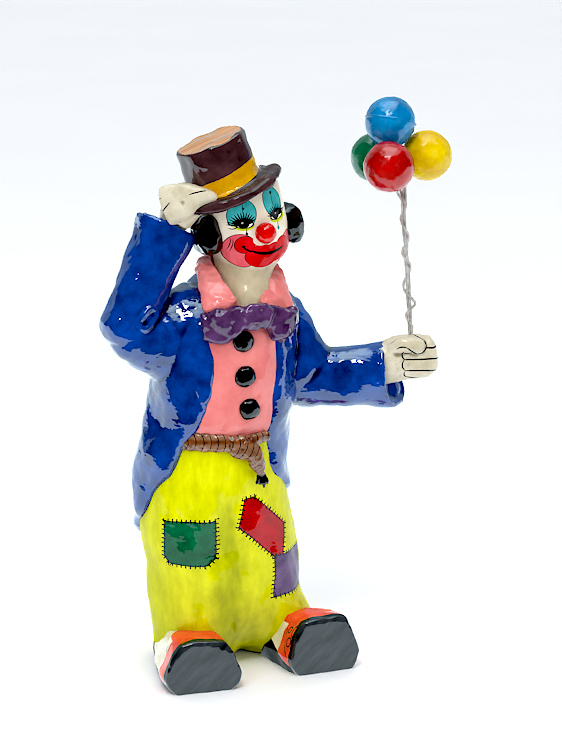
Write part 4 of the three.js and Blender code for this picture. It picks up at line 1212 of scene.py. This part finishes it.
def hat_paint(origin, ways, crown, height):
    """Dark brown, redder where thin, with painted shade in its hollows, an ochre-yellow band from 2 to 14 mm
    above the brim that slants across, and a tan top with brush marks. The varnish is full on the crown and
    half as thick on the brim."""
    material, tree, shader, place = varnished("varnished_brown_hat_paint", wobble=0.35, grain=4.0)
    spot = facing(tree, place, origin, ways.T)
    x = add(tree, "ShaderNodeSeparateXYZ", [spot])
    up = x.node.outputs[2]
    plan = add(tree, "ShaderNodeVectorMath", [spot, (1, 1, 0)], operation="MULTIPLY")
    out = add(tree, "ShaderNodeVectorMath", [plan], 1, operation="LENGTH")
    ragged = add(tree, "ShaderNodeTexNoise", {"Vector": spot, "Scale": 0.3, "Detail": 2.0})
    wander = add(tree, "ShaderNodeMath", [ragged, 2.4, -1.2], operation="MULTIPLY_ADD")
    # Dark brown in uneven coats, with painted shade in the hollows
    colour = hollow_shade(tree, mottled(tree, place, "#58393A", "#2A1A1D", 9), "#120A0A", 0.5)
    flat = add(tree, "ShaderNodeMapRange", [up, 3.2, 1.6])
    colour = over(tree, colour, mottled(tree, place, "#4E3436", "#241416", 6), flat)
    # The band
    slant = add(tree, "ShaderNodeMath", [x, -0.118, up], operation="MULTIPLY_ADD")
    slant = add(tree, "ShaderNodeMath", [wander, 0.35, slant], operation="MULTIPLY_ADD")
    below = add(tree, "ShaderNodeMapRange", [slant, 14.2, 13.9])
    above = add(tree, "ShaderNodeMapRange", [slant, 1.7, 2.0])
    close = add(tree, "ShaderNodeMapRange", [out, crown + 2.6, crown + 2.2])
    inside = add(tree, "ShaderNodeMath", [below, above], operation="MULTIPLY")
    inside = add(tree, "ShaderNodeMath", [inside, close], operation="MULTIPLY")
    colour = over(tree, colour, mottled(tree, place, "#E2AC06", "#B87C02", 7), inside)
    # The tan top, with brush marks 3 mm apart
    brushed = add(tree, "ShaderNodeMapping", {0: spot, 2: (0, 0, 0.5), 3: (0.02, 0.35, 0.02)})
    hairs = add(tree, "ShaderNodeTexNoise", {"Vector": brushed, "Scale": 1.0, "Detail": 3.0})
    hairs = add(tree, "ShaderNodeMapRange", [hairs, 0.36, 0.64])
    tans = {0: hairs, 6: linear("#A9692F"), 7: linear("#CC8F50")}
    tan = add(tree, "ShaderNodeMix", tans, 2, data_type="RGBA")
    edge = add(tree, "ShaderNodeMath", [wander, 1.0, out], operation="MULTIPLY_ADD")
    top = add(tree, "ShaderNodeMapRange", [edge, crown - 4.0, crown - 4.5])
    high = add(tree, "ShaderNodeMapRange", [up, height - 2.2, height - 1.6])
    top = add(tree, "ShaderNodeMath", [top, high], operation="MULTIPLY")
    tree.links.new(over(tree, colour, tan, top), shader.inputs["Base Color"])
    coat_weight = add(tree, "ShaderNodeMapRange", [flat, 0.0, 1.0, 1.0, 0.5])
    tree.links.new(coat_weight, shader.inputs["Coat Weight"])
    return material


HAT_CENTRE, HAT_WAYS = np.array([-4, -4, 365.6]), leaning(20.5, -2, 0)
BRIM_RADIUS, CROWN_RADIUS, HAT_HEIGHT = 42, 28.5, 36.5
# How many mm the brim hangs down, and towards which angle in degrees
BRIM_DROOPS = [(5, 45), (4, -105)]
hat_points, hat_faces = hat_skin(BRIM_RADIUS, CROWN_RADIUS, HAT_HEIGHT, BRIM_DROOPS)
hat_shape = pasted([(hat_points @ HAT_WAYS.T + HAT_CENTRE, hat_faces)], 1.2, 3)
HAT_PAINT = hat_paint(HAT_CENTRE, HAT_WAYS, CROWN_RADIUS, HAT_HEIGHT)
hat = shown("hat", uneven(hat_shape, (0.75, 20), (0.14, 8), 91), HAT_PAINT)
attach(hat, "root")
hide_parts("figure")


# The shirt's collar: a folded band of paper pasted round the neck over the coat, with two points in front. It
# is painted and varnished with the shirt.
def collar_skin(rows, levels):
    """A five-cornered section carried round the neck. Rows are its edge at the neck and its edge on the
    coat."""
    row = between(rows, np.linspace(0, 1, levels + 1))
    neck, edge = row[:, :3], row[:, 3:]
    inward = np.stack([4 - edge[:, 0], -edge[:, 1], 0 * edge[:, 0]], -1)
    inward /= np.linalg.norm(inward, axis=1, keepdims=True)
    bulge = neck * 0.45 + edge * 0.55 - inward * 2.2 + (0, 0, 2)
    under, inner = edge + inward * 2.5 - (0, 0, 5), neck + inward * 4 - (0, 0, 10)
    return closed(np.stack([neck, inner, under, edge, bulge], 1))


# Rows once round from the right point: x, y, z of the edge at the neck, then of the edge on the coat
COLLAR = [
    [-9.4, -43, 288, -15.6, -45, 285],
    [-12.9, -38, 294, -26.8, -44, 284],
    [-16.4, -31, 301, -35.4, -38, 283],
    [-17.7, -20, 307.3, -34, -24, 293.8],
    [-16.7, -6, 311, -30, -10, 302.6],
    [-12, 9, 313, -22, 13, 304],
    [6, 20, 313, 5, 30, 303],
    [26, 12, 306, 35, 15, 301],
    [32, -4, 301, 39.2, -6, 297.8],
    [23.2, -18, 300, 39.1, -20, 287],
    [15.3, -30, 293.2, 37.4, -32, 277.5],
    [10.1, -37, 290, 20.3, -43, 279],
    [6.6, -42, 286.7, 8.9, -46, 282],
]
collar_form = pasted([collar_skin(COLLAR, 160)], 1.1, 4)
collar = shown("collar", uneven(collar_form, (0.5, 14), (0.28, 6), 101), SHIRT_PAINT)
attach(collar, "root")
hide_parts("figure")


# The bow tie: a piece of its own, crushed paper in two lobes with a folded knot, painted purple and glued on
# under the collar.
def lobe(side, reach, drop):
    """A lobe's skin: a flattened limb that widens away from the knot. Side is -1 or 1, and reach and drop
    are in mm."""
    rows = [
        [1 + side * reach * 0.18, -46.5, 277 - drop * 0.1, 6, 8],
        [1 + side * reach * 0.44, -48.5, 275.5 - drop * 0.3, 6.5, 10],
        [1 + side * reach * 0.76, -48, 271.5 - drop * 0.7, 7.5, 13.5],
        [1 + side * reach, -42, 268.5 - drop, 5.5, 12],
    ]
    return limb(rows, (0, -1, 0), 24, 32, 0, 4)


BOW_KNOT = [[-8, -49.5, 275.5, 6, 8], [1, -52, 277.5, 7, 10], [10, -49.5, 274.5, 6, 8]]
bow_skins = [lobe(-1, 34, 0), lobe(1, 29, 4), limb(BOW_KNOT, (0, -1, 0), 20, 32, 3, 3)]
bow_skin = uneven(pasted(bow_skins, 1.0, 4), (1.15, 11), (0.35, 5), 111)
# Purple poster paint, dark where thick, under varnish: lights along the crumples and near black between them
BOW_PAINT = plain_paint("varnished_purple_paint", "#664470", "#341C3E", 7, 0.4, 3.5, 0.85)
bow_tie = shown("bow_tie", bow_skin, BOW_PAINT, "bow_tie")
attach(bow_tie, "root")
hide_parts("bow_tie")


# The nose: a small bead glued to the middle of the face, painted red and varnished. It is rounder and
# smoother than what is made of paper.
NOSE_RADIUS = 7.75
nose_place = HEAD_WAYS @ np.array([0.5, -34, -7]) + HEAD_CENTRE
nose_ball = ball(nose_place, (NOSE_RADIUS, NOSE_RADIUS, NOSE_RADIUS), 48, 64)
# Red poster paint under smooth varnish: one clear round light
NOSE_PAINT = plain_paint("varnished_red_nose_paint", "#E3241A", "#B80E0C", 5, 0.12)
nose = shown("nose", uneven(nose_ball, (0.12, 8), (0.05, 3), 121), NOSE_PAINT, "nose")
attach(nose, "root")
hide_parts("nose")


# Three buttons: domes of paper pulp 16 mm across, glued down the shirt's front, painted black and varnished.
# The middle of each lies 5.4 mm behind the front of its node's box.
BUTTON_RADII, BUTTON_SET_BACK = (8.0, 5.3, 8.0), 5.4
# Black poster paint under a full varnish: black, with one light that the pulp's lumps bend
BUTTON_PAINT = plain_paint("varnished_black_button_paint", "#080808", "#030303", 4, 0.3, 3.0)
for place, z in (("top", 258), ("middle", 232), ("bottom", 207)):
    low, high = (np.array(corner) * 1000 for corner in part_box("button_" + place))
    dome = ball(((low[0] + high[0]) / 2, low[1] + BUTTON_SET_BACK, z), BUTTON_RADII, 40, 56)
    dome = uneven(dome, (0.25, 9), (0.08, 4), 131 + z)
    button = shown("button_" + place + "_dome", dome, BUTTON_PAINT, "button_" + place)
    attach(button, "root")
    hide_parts("button_" + place)


# Four balloons: hollow plastic balls 38 mm across, each pierced, glued on to its wire and painted by hand.
# The blue one shows the seam of the ball through its paint.
# 0.3 mm inside the CAD's balls, which leaves room for the paint's waves
BALL_RADIUS = 18.7
# The way the seam's plane faces
SEAM_WAY = np.array([0.245, 0.167, 0.955])
# Each ball's centre, its thin and thick paint, how much varnish it takes and how high its seam stands in mm
BALLOONS = {
    "red": ((104.7, -52, 380), "#C0140E", "#8C0606", 0.9, 0.0),
    "blue": ((116, -28.4, 409), "#0C90CC", "#085C92", 0.9, 0.8),
    "yellow": ((144.2, -32.6, 383), "#E6CA10", "#C49A06", 0.5, 0.1),
    "green": ((115.7, -3.7, 379), "#147E54", "#064228", 0.9, 0.0),
}
for colour, (centre, thin, thick, gloss, seam_height) in BALLOONS.items():
    points, faces = ball(centre, (BALL_RADIUS, BALL_RADIUS, BALL_RADIUS), 96, 128)
    seam = bump((points - centre) @ SEAM_WAY - 1, 0.45)
    points = points + outward(points, faces) * (seam_height * seam)[:, None]
    # Poster paint on smooth plastic under half-dull varnish: a soft cap of light on top
    paint = plain_paint("varnished_" + colour + "_balloon_paint", thin, thick, 9, 0.7, 5.0, gloss, 0.2)
    skin = uneven((points, faces), (0.15, 14), (0.1, 5), 141)
    balloon = shown("balloon_" + colour + "_ball", skin, paint, "balloon_" + colour)
    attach(balloon, "root")
    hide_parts("balloon_" + colour)


# Four wires, twisted into one stem that stands in the fist and parting under the balloons. They are steel,
# painted pale grey by hand.
STEM_FOOT, STEM_FORK = np.array([127, -47.5, 240]), np.array([120.5, -44, 350])
ACROSS = np.array([0.927, -0.375, 0])
AHEAD = np.array([-0.375, -0.927, 0])
# The loose wire's turning points: the share of the way up the stem, and mm out to the side
LOOSE_TURNS = [
    (0.03, 1.0), (0.15, 1.4), (0.22, 2.4), (0.315, 4.6), (0.44, 3.4),
    (0.575, 2.6), (0.67, 2.9), (0.77, 2.4), (0.9, 2.5), (1.0, 1.6),
]


def core_line(phase):
    """One of the three inner wires: a slow helix of radius 1.15 mm, one and a quarter turns up the stem."""
    t = np.linspace(0, 1, 21)[:, None]
    angle = math.radians(phase) + t * 2.5 * np.pi + 0.5 * np.sin(t * 17 + phase)
    round_stem = 1.15 * np.concatenate([np.cos(angle), np.sin(angle), 0 * t], 1)
    return STEM_FOOT + (STEM_FORK - STEM_FOOT) * t + round_stem


def loose_line():
    """The fourth wire winds round the others, out to each side in turn by the radii, and past the front or
    the back in between."""
    t, radius = np.array(LOOSE_TURNS).T
    half_turn = np.arange(len(t)) - 1.0
    fine = np.linspace(0, len(t) - 1, 4 * (len(t) - 1) + 1)
    rows = (t, radius, half_turn * np.pi)
    t, radius, angle = (np.interp(fine, np.arange(len(t)), row)[:, None] for row in rows)
    stem = STEM_FOOT + (STEM_FORK - STEM_FOOT) * t
    return stem + np.cos(angle) * radius * ACROSS + np.sin(angle) * np.minimum(radius, 2.5) * AHEAD


def tube(line, radius, levels, sides):
    """A closed round tube along a Catmull-Rom line through points."""
    rows = np.concatenate([line, np.full((len(line), 2), radius)], 1)
    return closed(round_line(rows, (0.97, 0.2, 0.1), levels, sides, 2.0))


WIRE_RADIUS = 0.95
# Pale grey paint on steel wire, worn dark in places: dashes of light and dark along each turn
WIRE_PAINT = plain_paint("grey_painted_steel_wire", "#D6D3CE", "#8E8A84", 3, 0.15, 3.0)
# Each wire's stretch in the stem, and where it bends on its way to its ball
WIRES = {
    "red": (core_line(0), [[116, -43, 358.5]]),
    "blue": (core_line(120), [[121, -42, 357], [122, -40, 366], [119, -34, 380]]),
    "green": (core_line(240), [[120, -41, 357], [119.5, -34, 366], [117, -20, 374]]),
    "yellow": (loose_line(), [[122.4, -43, 358], [123.6, -41, 366], [130, -37, 374]]),
}
for colour, (stem, bend) in WIRES.items():
    centre = np.array(BALLOONS[colour][0])
    line = np.concatenate([stem, bend, [bend[-1] + (centre - bend[-1]) * 0.4]])
    strand = uneven(tube(line, WIRE_RADIUS, 420, 12), (0.05, 5), (0.03, 2), 151)
    wire = shown("wire_" + colour + "_strand", strand, WIRE_PAINT, None)
    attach(wire, "root")
    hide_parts("wire_" + colour)


# The picture's own tone, as in the photograph: white is cut off at full, the deepest tones are cut off at
# black, and edges are crisp.
def picture_tone(scene, black, crisp):
    """Cuts light at 1, takes away the black level, and adds a share of the sharpened picture."""
    scene.use_nodes = True
    tree = scene.node_tree
    tree.nodes.clear()
    light = add(tree, "CompositorNodeRLayers")
    white = (1.0, 1.0, 1.0, 1.0)
    cut = add(tree, "CompositorNodeMixRGB", {0: 1.0, 1: light, 2: white}, blend_type="DARKEN")
    level = (black, black, black, 0.0)
    deep = add(tree, "CompositorNodeMixRGB", {0: 1.0, 1: cut, 2: level}, blend_type="SUBTRACT")
    full = 1.0 / (1.0 - black)
    stretch = (full, full, full, 1.0)
    even = add(tree, "CompositorNodeMixRGB", {0: 1.0, 1: deep, 2: stretch}, blend_type="MULTIPLY")
    sharp = add(tree, "CompositorNodeFilter", {"Fac": crisp, "Image": even}, filter_type="SHARPEN_DIAMOND")
    add(tree, "CompositorNodeComposite", {"Image": sharp})


scene = bpy.context.scene
scene.view_settings.view_transform = "Standard"
scene.cycles.use_denoising = True
picture_tone(scene, black=0.014, crisp=0.2)
